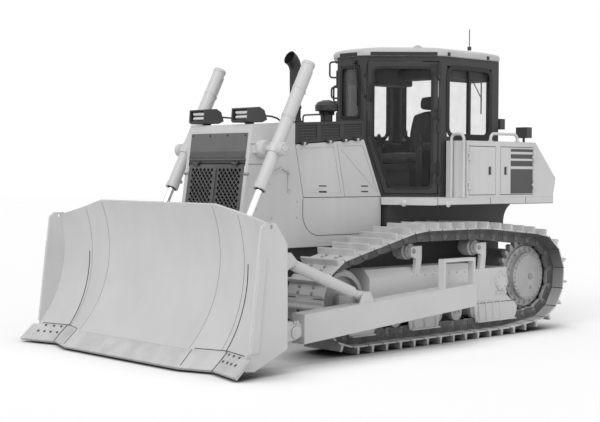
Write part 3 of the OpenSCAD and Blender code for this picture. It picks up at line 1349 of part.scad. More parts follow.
// Lift cylinders: yoke housings on the nose, barrels on trunnions, rods down to the blade
yoke_r = 92;
yoke_out_y = 588;
yoke_pin_r = 40;
yoke_pin_y = 505;
yoke_rib_l = 120;
lift_collar_r = 70;
lift_collar_l = 96;
lift_top_l = 950;
lift_gland_l = 436;
lift_gland_r = 65;
lift_gland_t = 60;
lift_bore_r = 48;
lift_cap_t = 24;
lift_piston_over = 47;
lift_piston_l = 80;
lift_eye_r = 62;
lift_eye_half_w = 40;
lift_top_r = 63;
lift_top_cap_l = 620;
lift_p = [at_x(nose_top_st - lift_back), lift_y, lift_z];
lift_end = [lift_pin[0], lift_y, lift_pin[1]];
lift_dir = (lift_end - lift_p) / norm(lift_end - lift_p);
lift_rod_l0 = norm(lift_end - lift_p) + lift_piston_over;
module lift_yokes() color(paint) both_sides() difference() {
    union() {
        bar_y(lift_p[0], lift_p[2], yoke_r, nose_half_w + fit, yoke_out_y);
        block([lift_p[0] - yoke_rib_l, nose_half_w + fit, lift_p[2] - yoke_rib_l / 3],
            [lift_p[0] + yoke_rib_l, nose_half_w + yoke_rib_l / 3, lift_p[2] + yoke_rib_l / 3]);
    }
    bar_y(lift_p[0], lift_p[2], yoke_pin_r + run_fit, yoke_pin_y, yoke_out_y + over);
}
module lift_barrel() difference() {
    union() {
        bar(lift_p - lift_dir * lift_top_l, lift_p + lift_dir * lift_gland_l, lift_barrel_r);
        bar(lift_p - lift_dir * lift_top_l, lift_p - lift_dir * (lift_top_l - lift_top_cap_l), lift_top_r);
        bar(lift_p - lift_dir * (lift_collar_l / 2), lift_p + lift_dir * (lift_collar_l / 2),
            lift_collar_r);
        bar(lift_p + lift_dir * (lift_gland_l - lift_gland_t), lift_p + lift_dir * lift_gland_l,
            lift_gland_r);
        bar_y(lift_p[0], lift_p[2], yoke_pin_r, yoke_pin_y + fit, lift_y);
    }
    bar(lift_p - lift_dir * (lift_top_l - lift_cap_t), lift_p + lift_dir * (lift_gland_l - lift_gland_t),
        lift_bore_r);
    bar(lift_p, lift_end, lift_rod_r + run_fit);
}
module lift_rod() difference() {
    union() {
        bar(lift_end - lift_dir * lift_rod_l0, lift_end, lift_rod_r);
        bar(lift_end - lift_dir * lift_rod_l0, lift_end - lift_dir * (lift_rod_l0 - lift_piston_l),
            lift_bore_r - run_fit);
        bar_y(lift_end[0], lift_end[2], lift_eye_r, lift_y - lift_eye_half_w, lift_y + lift_eye_half_w);
    }
    bar_y(lift_end[0], lift_end[2], pin_r, lift_y - 2 * lift_eye_half_w, lift_y + 2 * lift_eye_half_w);
}
module lift_barrel_l() color(paint) lift_barrel();
module lift_barrel_r() color(paint) mirror([0, 1, 0]) lift_barrel();
module lift_rod_l() color(steel) lift_rod();
module lift_rod_r() color(steel) mirror([0, 1, 0]) lift_rod();

main_frame();
cross_shafts();
track_frames();
track_l();
track_r();
sprockets();
idlers();
rollers();
engine();
radiator();
nose();
front_panel();
hood();
exhaust();
precleaner();
headlamps();
platform();
cab_frame();
cab_roof();
cab_glass();
seat();
console();
fender_boxes();
rear_tank();
rear_lamps();
grab_rails();
antenna();
drawbar();
lift_yokes();
push_arm_r();
moldboard();
blade_frame();
cutting_edges();
push_arm_l();
brace_l();
tilt_barrel();
tilt_rod();
lift_barrel_l();
lift_barrel_r();
lift_rod_l();
lift_rod_r();
cab_door_l();
cab_door_r();
door_glass_l();
door_glass_r();
engine_door_fl();
engine_door_rl();
engine_door_fr();
engine_door_rr();
grille_door();
box_door_fl();
box_door_rl();
box_door_fr();
box_door_rr();
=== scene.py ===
from math import acos, asin, atan2, cos, hypot, pi, radians, sin

import bmesh
import bpy
from mathutils import Matrix, Vector


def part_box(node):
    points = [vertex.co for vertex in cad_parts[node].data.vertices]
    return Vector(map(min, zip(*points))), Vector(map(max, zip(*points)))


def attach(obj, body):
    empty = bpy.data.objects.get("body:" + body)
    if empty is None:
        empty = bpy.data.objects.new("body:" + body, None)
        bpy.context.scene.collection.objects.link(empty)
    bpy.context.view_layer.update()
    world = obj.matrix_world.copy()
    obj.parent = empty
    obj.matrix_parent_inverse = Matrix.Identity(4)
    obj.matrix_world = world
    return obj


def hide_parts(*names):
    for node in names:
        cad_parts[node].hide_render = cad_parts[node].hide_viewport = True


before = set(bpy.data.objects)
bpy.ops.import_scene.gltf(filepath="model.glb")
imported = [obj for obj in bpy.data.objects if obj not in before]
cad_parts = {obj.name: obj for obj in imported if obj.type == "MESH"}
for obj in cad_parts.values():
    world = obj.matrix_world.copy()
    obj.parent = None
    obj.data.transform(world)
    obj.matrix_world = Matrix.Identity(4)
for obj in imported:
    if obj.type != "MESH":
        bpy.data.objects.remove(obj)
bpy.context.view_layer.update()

# Studio: the machine stands on a seamless pale floor in front of nothing. A broad front light, a
# weak side light, a soft light from above and a white room light it. The camera looks at its left
# front corner from chest height through a long lens.


class Signal:
    """A value on its way through shader nodes; sums written on it add the Math nodes."""

    def __init__(self, tree, socket=None):
        self.tree = tree
        self.socket = socket

    def wire(self, node, inputs):
        for key, value in inputs.items():
            if isinstance(value, Signal):
                self.tree.links.new(value.socket, node.inputs[key])
            else:
                node.inputs[key].default_value = value

    def node(self, kind, settings=None, inputs=None, out=0):
        """Adds a node: its settings first, then the values or links of its sockets."""
        added = self.tree.nodes.new(kind)
        for key, value in (settings or {}).items():
            setattr(added, key, value)
        self.wire(added, inputs or {})
        return Signal(self.tree, added.outputs[out])

    def output(self, name):
        return Signal(self.tree, self.socket.node.outputs[name])

    def maths(self, operation, first, second):
        return self.node("ShaderNodeMath", {"operation": operation}, {0: first, 1: second})

    def __add__(self, other):
        return self.maths("ADD", self, other)

    def __radd__(self, other):
        return self.maths("ADD", other, self)

    def __sub__(self, other):
        return self.maths("SUBTRACT", self, other)

    def __rsub__(self, other):
        return self.maths("SUBTRACT", other, self)

    def __mul__(self, other):
        return self.maths("MULTIPLY", self, other)

    def __rmul__(self, other):
        return self.maths("MULTIPLY", other, self)

    def between(self, low, high):
        """0 where the value is at low, 1 where it is at high, and no further."""
        return self.node("ShaderNodeMapRange", None, {"Value": self, "From Min": low, "From Max": high})

    def stretched(self, scale):
        return self.node("ShaderNodeVectorMath", {"operation": "MULTIPLY"}, {0: self, 1: scale})

    def noise(self, scale, detail=2.0):
        return self.node("ShaderNodeTexNoise", None, {"Vector": self, "Scale": scale, "Detail": detail})

    def blend(self, first, second):
        """A colour between two others, by this value."""
        return self.node("ShaderNodeMix", {"data_type": "RGBA"}, {0: self, 6: first, 7: second}, 2)

    def part(self, axis):
        """One coordinate of a place or a direction."""
        return self.node("ShaderNodeSeparateXYZ", None, {0: self}, axis)

    def bands(self, axis, scale, distortion=0.0):
        """Even stripes across an axis of the piece."""
        return self.node("ShaderNodeTexWave", {"wave_type": "BANDS", "bands_direction": axis},
            {"Vector": self, "Scale": scale, "Distortion": distortion}, 1)

    def relief(self, strength, distance, inputs=None):
        """The normal of a face on which this value stands out as a height."""
        return self.node("ShaderNodeBump", None,
            {"Strength": strength, "Distance": distance, "Height": self, **(inputs or {})})


def grey(level):
    """A neutral colour from its shade on screen."""
    light = ((level + 0.055) / 1.055) ** 2.4
    return (light, light, light, 1.0)


def seen_ray(tree):
    """1 on rays that the eye follows: straight, mirrored or through glass."""
    rays = Signal(tree).node("ShaderNodeLightPath", None, None, "Is Camera Ray")
    return (rays + rays.output("Is Glossy Ray") + rays.output("Is Transmission Ray")).between(0.0, 1.0)


eye = Vector((9.531, 9.815, 1.761))
heading, dip, tilt = radians(-133.02), radians(1.78), radians(0.33)
ahead = Vector((cos(heading) * cos(dip), sin(heading) * cos(dip), -sin(dip)))
level = ahead.cross(Vector((0, 0, 1))).normalized()
upright = level.cross(ahead)
right = level * cos(tilt) + upright * sin(tilt)
above = upright * cos(tilt) - level * sin(tilt)
focal_pixels, photo_width = 1284.7, 600
lens = bpy.data.cameras.new("camera")
lens.lens = lens.sensor_width * focal_pixels / photo_width
camera = bpy.data.objects.new("camera", lens)
camera.matrix_world = Matrix.Translation(eye) @ Matrix((right, above, -ahead)).transposed().to_4x4()
bpy.context.collection.objects.link(camera)
bpy.context.scene.camera = camera
bpy.context.scene.view_settings.view_transform = "Standard"

room_light = 0.37
room = bpy.data.worlds.new("room")
room.use_nodes = True
bpy.context.scene.world = room
seen = seen_ray(room.node_tree)
seen.wire(room.node_tree.nodes["Background"], {
    "Color": (1.0, 1.0, 1.0, 1.0), "Strength": seen * (1.0 - room_light) + room_light})

for name, strength, spread, stands in (
        ("front_light", 1.10, 40, (3.0, 1.0, 2.4)), ("side_light", 0.28, 60, (0.4, 3.0, 1.6)),
        ("top_light", 0.55, 100, (-0.2, 0.3, 3.0))):
    lamp = bpy.data.lights.new(name, "SUN")
    lamp.energy = strength
    lamp.angle = radians(spread)
    light = bpy.data.objects.new(name, lamp)
    light.rotation_euler = Vector(stands).to_track_quat("Z", "Y").to_euler()
    bpy.context.collection.objects.link(light)

floor_half, floor_lift, shadow_reach = 60.0, 0.245, 0.55
floor_paper = bpy.data.materials.new("floor_paper")
floor_paper.use_nodes = True
tree = floor_paper.node_tree
seen = seen_ray(tree)
# Painted shadow: the floor's colour and its lift darken where the machine hides the sky, a soft contact
# shadow.
open_sky = seen.node("ShaderNodeAmbientOcclusion", {"samples": 8}, {"Distance": shadow_reach}, "AO")
open_sky = open_sky.between(0.25, 0.95)
seen.wire(tree.nodes["Principled BSDF"], {
    "Base Color": open_sky.blend(grey(0.30), grey(0.97)), "Roughness": 0.9, "Specular IOR Level": 0.0,
    "Emission Color": (seen * open_sky * floor_lift).blend((0, 0, 0, 1), (1, 1, 1, 1)),
    "Emission Strength": 1.0})
sheet = bpy.data.meshes.new("floor")
floor_corners = [(x * floor_half, y * floor_half, 0) for x, y in ((-1, -1), (1, -1), (1, 1), (-1, 1))]
sheet.from_pydata(floor_corners, [], [(0, 1, 2, 3)])
sheet.materials.append(floor_paper)
floor = bpy.data.objects.new("floor", sheet)
bpy.context.collection.objects.link(floor)

# Main frame: the welded steel hull between the tracks, with the guard under its nose, the deck
# plate above the tracks and the drawbar behind. The hull is sprayed dark grey, which also stands
# in for the deep shade under the deck as painted shade; the deck and the drawbar are in the
# machine's pale colour.


def start(name):
    """A new finish: its material, its surface shader and the place on the piece."""
    finish = bpy.data.materials.new(name)
    finish.use_nodes = True
    tree = finish.node_tree
    place = Signal(tree).node("ShaderNodeTexCoord", None, None, "Object")
    return finish, tree.nodes["Principled BSDF"], place


def rubbed_edge(place, radius):
    """1 along outer and inner edges, 0 on open faces, with the normal that rounds them."""
    rounded = place.node("ShaderNodeBevel", {"samples": 4}, {"Radius": radius})
    facing = place.node("ShaderNodeNewGeometry", None, None, "Normal")
    meet = place.node("ShaderNodeVectorMath", {"operation": "DOT_PRODUCT"}, {0: rounded, 1: facing}, "Value")
    return meet.between(0.998, 0.90), rounded


def sprayed(name, tone, shine=0.34, bare=0.70, wear=0.5, dust=0.10):
    """Sprayed paint: faint clouds and rain streaks, rubbed edges, dust low down, orange peel."""
    finish, surface, place = start(name)
    cloud = place.noise(1.7, 4.0)
    streak = place.stretched((7.0, 7.0, 0.6)).noise(1.0, 3.0)
    edge, rounded = rubbed_edge(place, 0.007)
    chips = edge * place.noise(46.0, 3.0).between(0.47, 0.63) * wear
    settled = place.part(2).between(1.1, 0.05) * streak.between(0.35, 0.7) * dust
    coat = (0.7 * cloud + 0.5 * streak).between(0.35, 0.85).blend(grey(tone - 0.035), grey(tone + 0.015))
    coat = settled.blend(coat, grey(0.58))
    coat = chips.blend(coat, grey(bare))
    bump = place.noise(560.0, 2.0).relief(0.10, 0.0012, {"Normal": rounded})
    place.wire(surface, {"Base Color": coat, "Roughness": shine + 0.14 * cloud + 0.25 * settled,
        "Normal": bump, "Coat Roughness": 0.25})
    return finish


def dress(finish, *nodes):
    for node in nodes:
        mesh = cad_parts[node].data
        mesh.materials.clear()
        mesh.materials.append(finish)


pale_paint = sprayed("pale_paint", 0.86)
# The hull's dark grey is partly its paint and partly painted shade for the deep shade under the deck.
hull_paint_and_shade = sprayed("hull_paint_and_shade", 0.24, 0.45, 0.40, 0.4, 0.25)
dress(pale_paint, "platform", "drawbar", "track_frames")
dress(hull_paint_and_shade, "main_frame")


def circle(across, beside, count, first=0.0):
    """Directions evenly round a circle."""
    return [across * cos(a) + beside * sin(a) for a in (first + 2 * pi * k / count for k in range(count))]


class Work:
    """One piece in the making: its points and faces, in metres, where the piece sits."""

    def __init__(self):
        self.points = []
        self.faces = []

    def add(self, points, faces):
        first = len(self.points)
        self.points += [tuple(p) for p in points]
        self.faces += [[first + i for i in face] for face in faces]
        return self

    def slab(self, corners):
        """A box from its eight corners."""
        return self.add(corners, [(0, 1, 3, 2), (4, 6, 7, 5), (0, 4, 5, 1), (2, 3, 7, 6),
            (0, 2, 6, 4), (1, 5, 7, 3)])

    def block(self, low, high):
        return self.slab([(x, y, z) for x in (low[0], high[0]) for y in (low[1], high[1])
            for z in (low[2], high[2])])

    def plate(self, outline, y0, y1):
        """A flat plate across the machine, from its outline in x and z."""
        count = len(outline)
        points = [(x, y0, z) for x, z in outline] + [(x, y1, z) for x, z in outline]
        rim = [(i, (i + 1) % count, count + (i + 1) % count, count + i) for i in range(count)]
        return self.add(points, rim + [range(count), range(count, 2 * count)])

    def skin(self, rows, looped=False, capped=False):
        """A sheet through rows of points; looped rows close on themselves, caps close the ends."""
        count = len(rows[0])
        spans = count if looped else count - 1
        faces = [[row * count + i, row * count + (i + 1) % count, (row + 1) * count + (i + 1) % count,
            (row + 1) * count + i] for row in range(len(rows) - 1) for i in range(spans)]
        if capped:
            faces += [range(count), range((len(rows) - 1) * count, len(rows) * count)]
        return self.add([p for row in rows for p in row], faces)

    def turned(self, at, axis, profile, sides=24, open_bore=False):
        """A form turned on an axis, from distances along it and radii there; a ring if its bore is open."""
        axis = Vector(axis).normalized()
        across = axis.orthogonal().normalized()
        ring = circle(across, axis.cross(across), sides)
        rows = [[Vector(at) + axis * along + spoke * radius for spoke in ring] for along, radius in profile]
        return self.skin(rows + rows[:1], True) if open_bore else self.skin(rows, True, True)

    def bolt(self, at, axis, radius=0.012):
        """A hexagon head on its washer."""
        self.turned(at, axis, [(-0.002, 1.5 * radius), (0.25 * radius, 1.5 * radius)], 12)
        head = [(0.2 * radius, radius), (0.95 * radius, radius), (1.1 * radius, 0.8 * radius)]
        return self.turned(at, axis, head, 6)

    def bolt_ring(self, centre, axis, across, reach, count, radius, first=0.0):
        """Bolts on a circle round an axis."""
        across = Vector(across)
        for spoke in circle(across, across.cross(Vector(axis)).normalized(), count, first):
            self.bolt(Vector(centre) + spoke * reach, axis, radius)

    def tube(self, path, radius, sides=10):
        """A round bar or pipe along a path of points."""
        path = [Vector(p) for p in path]
        last = len(path) - 1
        across = None
        rows = []
        for k, point in enumerate(path):
            ahead = (path[min(k + 1, last)] - path[max(k - 1, 0)]).normalized()
            across = ahead.orthogonal() if across is None else across - ahead * across.dot(ahead)
            across.normalize()
            rows.append([point + spoke * radius for spoke in circle(across, ahead.cross(across), sides)])
        return self.skin(rows, True, True)

    def band(self, path, up, width, rise, closed=False):
        """A flat strip along a path on a face; up is the way the face looks."""
        sunk = 0.002
        up = Vector(up).normalized()
        path = [Vector(p) for p in path]
        last = len(path) - 1
        rows = []
        for k, point in enumerate(path):
            before = path[k - 1] if closed else path[max(k - 1, 0)]
            after = path[(k + 1) % len(path)] if closed else path[min(k + 1, last)]
            side = up.cross(after - before).normalized() * (width / 2)
            rows.append([point - side - up * sunk, point + side - up * sunk, point + side + up * rise,
                point - side + up * rise])
        return self.skin(rows + rows[:1] if closed else rows, True, not closed)

    def mirrored(self):
        """The same again on the machine's other side."""
        return self.add([(x, -y, z) for x, y, z in self.points], [list(reversed(f)) for f in self.faces])


crease = radians(33)


def put(work, name, finish, body, edge=0.0, stands_for=()):
    """Makes the piece from its points and faces and hangs it on its body."""
    mesh = bpy.data.meshes.new(name)
    mesh.from_pydata(work.points, [], [list(f) for f in work.faces])
    shaped = bmesh.new()
    shaped.from_mesh(mesh)
    bmesh.ops.recalc_face_normals(shaped, faces=shaped.faces)
    shaped.to_mesh(mesh)
    shaped.free()
    mesh.shade_smooth()
    mesh.set_sharp_from_angle(angle=crease)
    mesh.materials.append(finish)
    piece = bpy.data.objects.new(name, mesh)
    bpy.context.collection.objects.link(piece)
    if edge:
        bevel = piece.modifiers.new("edge", "BEVEL")
        bevel.width = edge
        bevel.segments = 2
        bevel.limit_method = "ANGLE"
        bevel.angle_limit = crease
    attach(piece, body)
    if stands_for:
        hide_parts(*stands_for)
    return piece


leftward, forward, upward = (0, 1, 0), (1, 0, 0), (0, 0, 1)
deck_top, deck_side, skirt_low = 1.490, 1.08, 1.4155
deck_nose, deck_front = Vector((-0.3304, 0.50)), Vector((0.940, 0.340))
cab_corner, cab_front = Vector((-0.9554, 0.78)), Vector((0.6999, 0.7143))
lug_long, lug_wide = 0.017, 0.006
tread = Work()
for i in range(15):
    for k in range(12):
        spot = Vector((-0.38 - 0.042 * i, 0.53 + 0.046 * k))
        if (spot - deck_nose).dot(deck_front) > -0.035 or (spot - cab_corner).dot(cab_front) < 0.06:
            continue
        turn = pi / 4 if (i + k) % 2 else -pi / 4
        longways, sideways = Vector((cos(turn), sin(turn))), Vector((-sin(turn), cos(turn)))
        ring = [longways * lug_long, sideways * lug_wide, longways * -lug_long, sideways * -lug_wide]
        tread.skin([[(*(spot + p * size), deck_top + rise) for p in ring]
            for size, rise in ((1.0, -0.001), (0.6, 0.003))], True, True)
put(tread.mirrored(), "deck_tread", pale_paint, "chassis")
caps = Work()
for at, out in (((-0.4186, 0.7436, 1.430), (*deck_front, 0)), ((-0.73, deck_side, 1.426), leftward)):
    caps.turned(at, out,
        [(-0.002, 0.034), (0.006, 0.034), (0.014, 0.027), (0.019, 0.014), (0.020, 0.001)], 20)
put(caps.mirrored(), "deck_caps", pale_paint, "chassis")
# Dark for seams and gaps, also used for a painted shadow line along the rear roller guards.
seam_and_shadow_dark = sprayed("seam_and_shadow_dark", 0.27, 0.6, 0.3, 0.0, 0.0)
joints = Work()
for x in (-0.566, -1.434, -2.05):
    joints.band([(x, deck_side, 1.414), (x, deck_side, 1.488)], leftward, 0.006, 0.0012)
joints.band([(x, deck_side, skirt_low) for x in (-2.56, -0.545)], leftward, 0.006, 0.0012)
put(joints.mirrored(), "deck_joints", seam_and_shadow_dark, "chassis")

# Running gear: forged and cast steel under a thin coat of the same paint, bright where the
# rollers and the ground rub it. Sprockets, idlers and rollers are turned castings; the hub caps
# are held by rings of bolts.


def forged(name, tone, metal=0.25, rough=0.46, grease_and_shade=None):
    """Forged steel: scale in patches, small pits, edges rubbed bright, and darkened by a given mask for
    grease and painted shade.
    """
    finish, surface, place = start(name)
    scale = place.noise(5.0, 6.0)
    pits = place.noise(150.0, 3.0)
    edge, rounded = rubbed_edge(place, 0.009)
    rubbed = edge * place.noise(30.0, 3.0).between(0.3, 0.6)
    shade = (0.8 * scale + 0.25 * pits).between(0.3, 0.75).blend(grey(tone - 0.09), grey(tone + 0.03))
    shade = (0.7 * rubbed).blend(shade, grey(min(tone + 0.14, 0.93)))
    # Grease and painted shade: the mask darkens the chain sides for grease and the shoes' inner faces as
    # painted shade.
    if grease_and_shade:
        shade = (grease_and_shade(place) * (0.75 + 0.25 * scale)).blend(shade, grey(0.22))
    bump = (pits + 0.6 * scale).relief(0.22, 0.002, {"Normal": rounded})
    place.wire(surface, {"Base Color": shade, "Metallic": metal + 0.3 * rubbed,
        "Roughness": rough + 0.16 * scale - 0.14 * rubbed, "Normal": bump})
    return finish


cast_steel = forged("cast_steel", 0.72)
bolt_steel = forged("bolt_steel", 0.62, 0.6, 0.4)
dress(cast_steel, "sprockets", "idlers", "rollers", "cross_shafts")

track_y = 0.94
axle_x, axle_z = -2.1504, 0.6
idler_x, idler_z = 0.7646, 0.5
carrier_places, carrier_z = (axle_x + 0.909, axle_x + 1.948), 0.955
roller_first, roller_pitch, roller_z = -1.5384, 0.31383, 0.28
hubs = Work()
hubs.bolt_ring((axle_x, track_y + 0.058, axle_z), leftward, forward, 0.299, 20, 0.013)
hubs.bolt_ring((axle_x, track_y + 0.110, axle_z), leftward, forward, 0.242, 30, 0.0095)
hubs.turned((axle_x, track_y + 0.140, axle_z), leftward,
    [(-0.002, 0.034), (0.009, 0.034), (0.013, 0.024), (0.013, 0.013), (0.006, 0.010)], 24)
hubs.turned((axle_x - 0.02, track_y + 0.1345, axle_z - 0.125), (0, 1, -0.2),
    [(-0.006, 0.019), (0.007, 0.019), (0.011, 0.012)], 12)
for k in (2, 5):
    for x in (-0.028, 0.028):
        hubs.bolt((roller_first + roller_pitch * k + x, 1.0637, roller_z + 0.01), leftward, 0.011)
for x in carrier_places:
    hubs.bolt((x, 1.08, carrier_z), leftward, 0.018)
    hubs.bolt_ring((x, track_y + 0.096, carrier_z), leftward, forward, 0.055, 6, 0.008)
hubs.bolt_ring((idler_x, track_y + 0.091, idler_z), leftward, forward, 0.062, 8, 0.008)
put(hubs.mirrored(), "hub_bolts", bolt_steel, "chassis")

# Track chains: each link's pin stands a little out of its bosses on both rails, and four bolts
# hold each shoe on the rails. Dark lines mark the gaps between links and between shoes. All of it
# goes round the same loop as the shoes.


def chain_grease_and_shade(place):
    """1 on the side faces of the chain for grease, less on the inner faces of the shoes behind the sprocket
    as painted shade, more of it higher up.
    """
    facing = place.node("ShaderNodeNewGeometry", None, None, "Normal")
    lies, spot = ([vector.part(axis) for axis in range(3)] for vector in (facing, place))
    reach = spot[1] * spot[1]
    sides = (lies[1] * lies[1]).between(0.5, 0.8) * reach.between(1.30, 1.20) * reach.between(0.52, 0.62)
    inward = ((axle_x - spot[0]) * lies[0] + (axle_z - spot[2]) * lies[2]).between(0.12, 0.25)
    # Painted shade: the shoes' inner faces behind the sprocket go dark, more so higher up.
    inner = inward * spot[0].between(axle_x + 0.2, axle_x) * (0.25 + 0.65 * spot[2].between(0.25, 0.85))
    return (sides + inner).between(0.0, 1.0)


track_steel = forged("track_steel", 0.82, 0.15, 0.5, chain_grease_and_shade)
chain_steel = forged("chain_steel", 0.45, 0.3, 0.45)
dress(track_steel, "track_l", "track_r")
pin_line, sprocket_reach, idler_reach, carrier_top = 0.145, 0.408, 0.355, 1.093
shoe_count, shoe_half, shoe_seat, shoe_face = 41, 0.255, 0.066, 0.080
rail_out, rail_in = 0.117, 0.072


def steps(first, last, count):
    """Values in even steps, with both ends."""
    return [first + (last - first) * k / count for k in range(count + 1)]


def tangent(point, centre, reach, side):
    away = (point[0] - centre[0], point[1] - centre[1])
    return atan2(away[1], away[0]) + side * acos(reach / hypot(*away))


def around(centre, reach, a):
    return (centre[0] + reach * cos(a), centre[1] + reach * sin(a))


axle, idler_hub = (axle_x, axle_z), (idler_x, idler_z)
bend = (axle_x + 0.502, pin_line)
carriers = [(x, carrier_top) for x in carrier_places]
low_a = tangent(bend, axle, sprocket_reach, -1)
up_a = tangent(carriers[0], axle, sprocket_reach, 1)
idler_a = tangent(carriers[1], idler_hub, idler_reach, -1)
loop = [(idler_x, pin_line), bend]
loop += [around(axle, sprocket_reach, a) for a in steps(low_a, up_a - 2 * pi, 200)]
loop += carriers
loop += [around(idler_hub, idler_reach, a) for a in steps(idler_a, -pi / 2, 200)]
run = [0.0]
for a, b in zip(loop, loop[1:]):
    run.append(run[-1] + hypot(b[0] - a[0], b[1] - a[1]))


def on_loop(s):
    k = next(k for k in range(len(loop) - 1) if s <= run[k + 1])
    share = (s - run[k]) / (run[k + 1] - run[k])
    return Vector((loop[k][0] + (loop[k + 1][0] - loop[k][0]) * share, 0,
        loop[k][1] + (loop[k + 1][1] - loop[k][1]) * share))


pins = [on_loop(run[-1] * k / shoe_count) for k in range(shoe_count)]
chain, shoe_bolts, link_gaps = Work(), Work(), Work()
for k, pin in enumerate(pins):
    following = pins[(k + 1) % shoe_count]
    along, before = (following - pin).normalized(), (pin - pins[k - 1]).normalized()
    out = Vector((-along.z, 0, along.x))
    fold = (out + Vector((-before.z, 0, before.x))).normalized()
    for y, side in ((rail_out, 1), (rail_in, -1), (-rail_out, -1), (-rail_in, 1)):
        boss = pin + Vector((0, track_y + y, 0))
        chain.turned(boss, (0, side, 0), [(-0.004, 0.034), (0.002, 0.034), (0.004, 0.030)], 14)
        chain.turned(boss, (0, side, 0), [(0.0, 0.021), (0.005, 0.021), (0.0065, 0.017)], 12)
    for u in (0.012, 0.072):
        for y in (-0.0945, 0.0945):
            seat = (pin + following) / 2 + Vector((0, track_y + y, 0))
            shoe_bolts.bolt(seat + along * u + out * shoe_face, out, 0.014)
    for side in (-1, 1):
        up = (0, side, 0)
        face, end = (pin + Vector((0, track_y + side * y, 0)) for y in (rail_out, shoe_half))
        link_gaps.band([face + along * u + out * v
            for u, v in ((0.052, 0.062), (0.047, 0.02), (0.034, -0.034))], up, 0.011, 0.001)
        for u in (0.078, 0.110):
            link_gaps.band([face + along * u + out * v for v in (0.050, 0.006)], up, 0.013, 0.001)
        link_gaps.band([pin + Vector((0, track_y + side * y, 0)) + fold * shoe_seat for y in (0.122, 0.254)],
            -fold, 0.010, 0.002)
        link_gaps.band([end + fold * 0.064, end + fold * shoe_face], up, 0.010, 0.001)
put(chain.mirrored(), "track_pins", chain_steel, "chassis")
put(link_gaps.mirrored(), "link_gaps", seam_and_shadow_dark, "chassis")
put(shoe_bolts.mirrored(), "shoe_bolts", bolt_steel, "chassis")

# Track frames: box beams that carry the rollers, with a bolted cover over the recoil spring,
# gussets down the roller guards and a bolted cap over the pivot shaft.

frame_face = 1.08
frame_skin = frame_face - 0.002
covers = Work()
covers.plate([(-1.05, 0.46), (-1.05, 0.70), (-1.02, 0.73), (-0.22, 0.73), (-0.19, 0.70), (-0.19, 0.46),
    (-0.22, 0.43), (-1.02, 0.43)], frame_skin, frame_face + 0.008)
covers.block((-1.71, frame_skin, 0.446), (-1.53, frame_face + 0.022, 0.462))
put(covers.mirrored(), "spring_covers", pale_paint, "chassis", 0.003)
frame_bolts = Work()
for x in steps(-1.0, -0.24, 6):
    for z in (0.45, 0.71):
        frame_bolts.bolt((x, frame_face + 0.008, z), leftward, 0.009)
frame_bolts.bolt_ring((-1.6184, 1.101, 0.576), leftward, forward, 0.074, 8, 0.010)
guards = Work()
guard_low, guard_top, guard_lip = 0.150, 0.385, 1.115
rib_side = [(frame_skin, guard_top), (frame_skin, guard_low), (guard_lip - 0.004, guard_low),
    (guard_lip - 0.004, guard_low + 0.02), (frame_face + 0.006, guard_top)]
for low_x, high_x, ribs in ((-1.9104, -1.1664, steps(-1.6104, -1.2464, 3)),
        (-0.6334, -0.1164, steps(-0.5434, -0.2064, 2)), (0.3296, 0.7496, ())):
    guards.block((low_x + 0.045, frame_skin, guard_low), (high_x - 0.045, guard_lip, guard_low + 0.014))
    for x in ribs:
        guards.skin([[(x + t, y, z) for y, z in rib_side] for t in (-0.007, 0.007)], True, True)
        frame_bolts.bolt((x + 0.06, frame_face, 0.365), leftward, 0.011)
put(guards.mirrored(), "guard_ribs", pale_paint, "chassis", 0.003)
put(frame_bolts.mirrored(), "track_frame_bolts", pale_paint, "chassis")
# Painted shadow: a dark band along the top of the rear roller guards stands for the shadow line under their
# ledge.
guard_ledge_shadow = Work()
guard_ledge_shadow.band([(x, frame_face, 0.352) for x in (-1.905, -1.172)], leftward, 0.008, 0.001)
put(guard_ledge_shadow.mirrored(), "guard_ledge_shadow", seam_and_shadow_dark, "chassis")

# Engine and radiator: a cast block with its covers, manifolds and filters, and a finned core.
# Both are near black and show only through the grille, the louvres and the open doors.

black_iron = forged("black_iron", 0.20, 0.2, 0.55)
dress(black_iron, "engine")


def finned(name, tone):
    """A radiator core: fine upright tubes crossed by close fins, darker between them, with patches of dust.
    """
    finish, surface, place = start(name)
    fins, tubes = place.bands("Z", 60.0), place.bands("Y", 26.0)
    dust = place.noise(7.0, 4.0)
    shade = (0.4 * fins * tubes + 0.5 * dust).between(0.1, 0.8).blend(grey(tone - 0.05), grey(tone + 0.09))
    place.wire(surface, {"Base Color": shade, "Roughness": 0.55 + 0.2 * dust,
        "Normal": (fins + 0.8 * tubes).relief(0.5, 0.003)})
    return finish


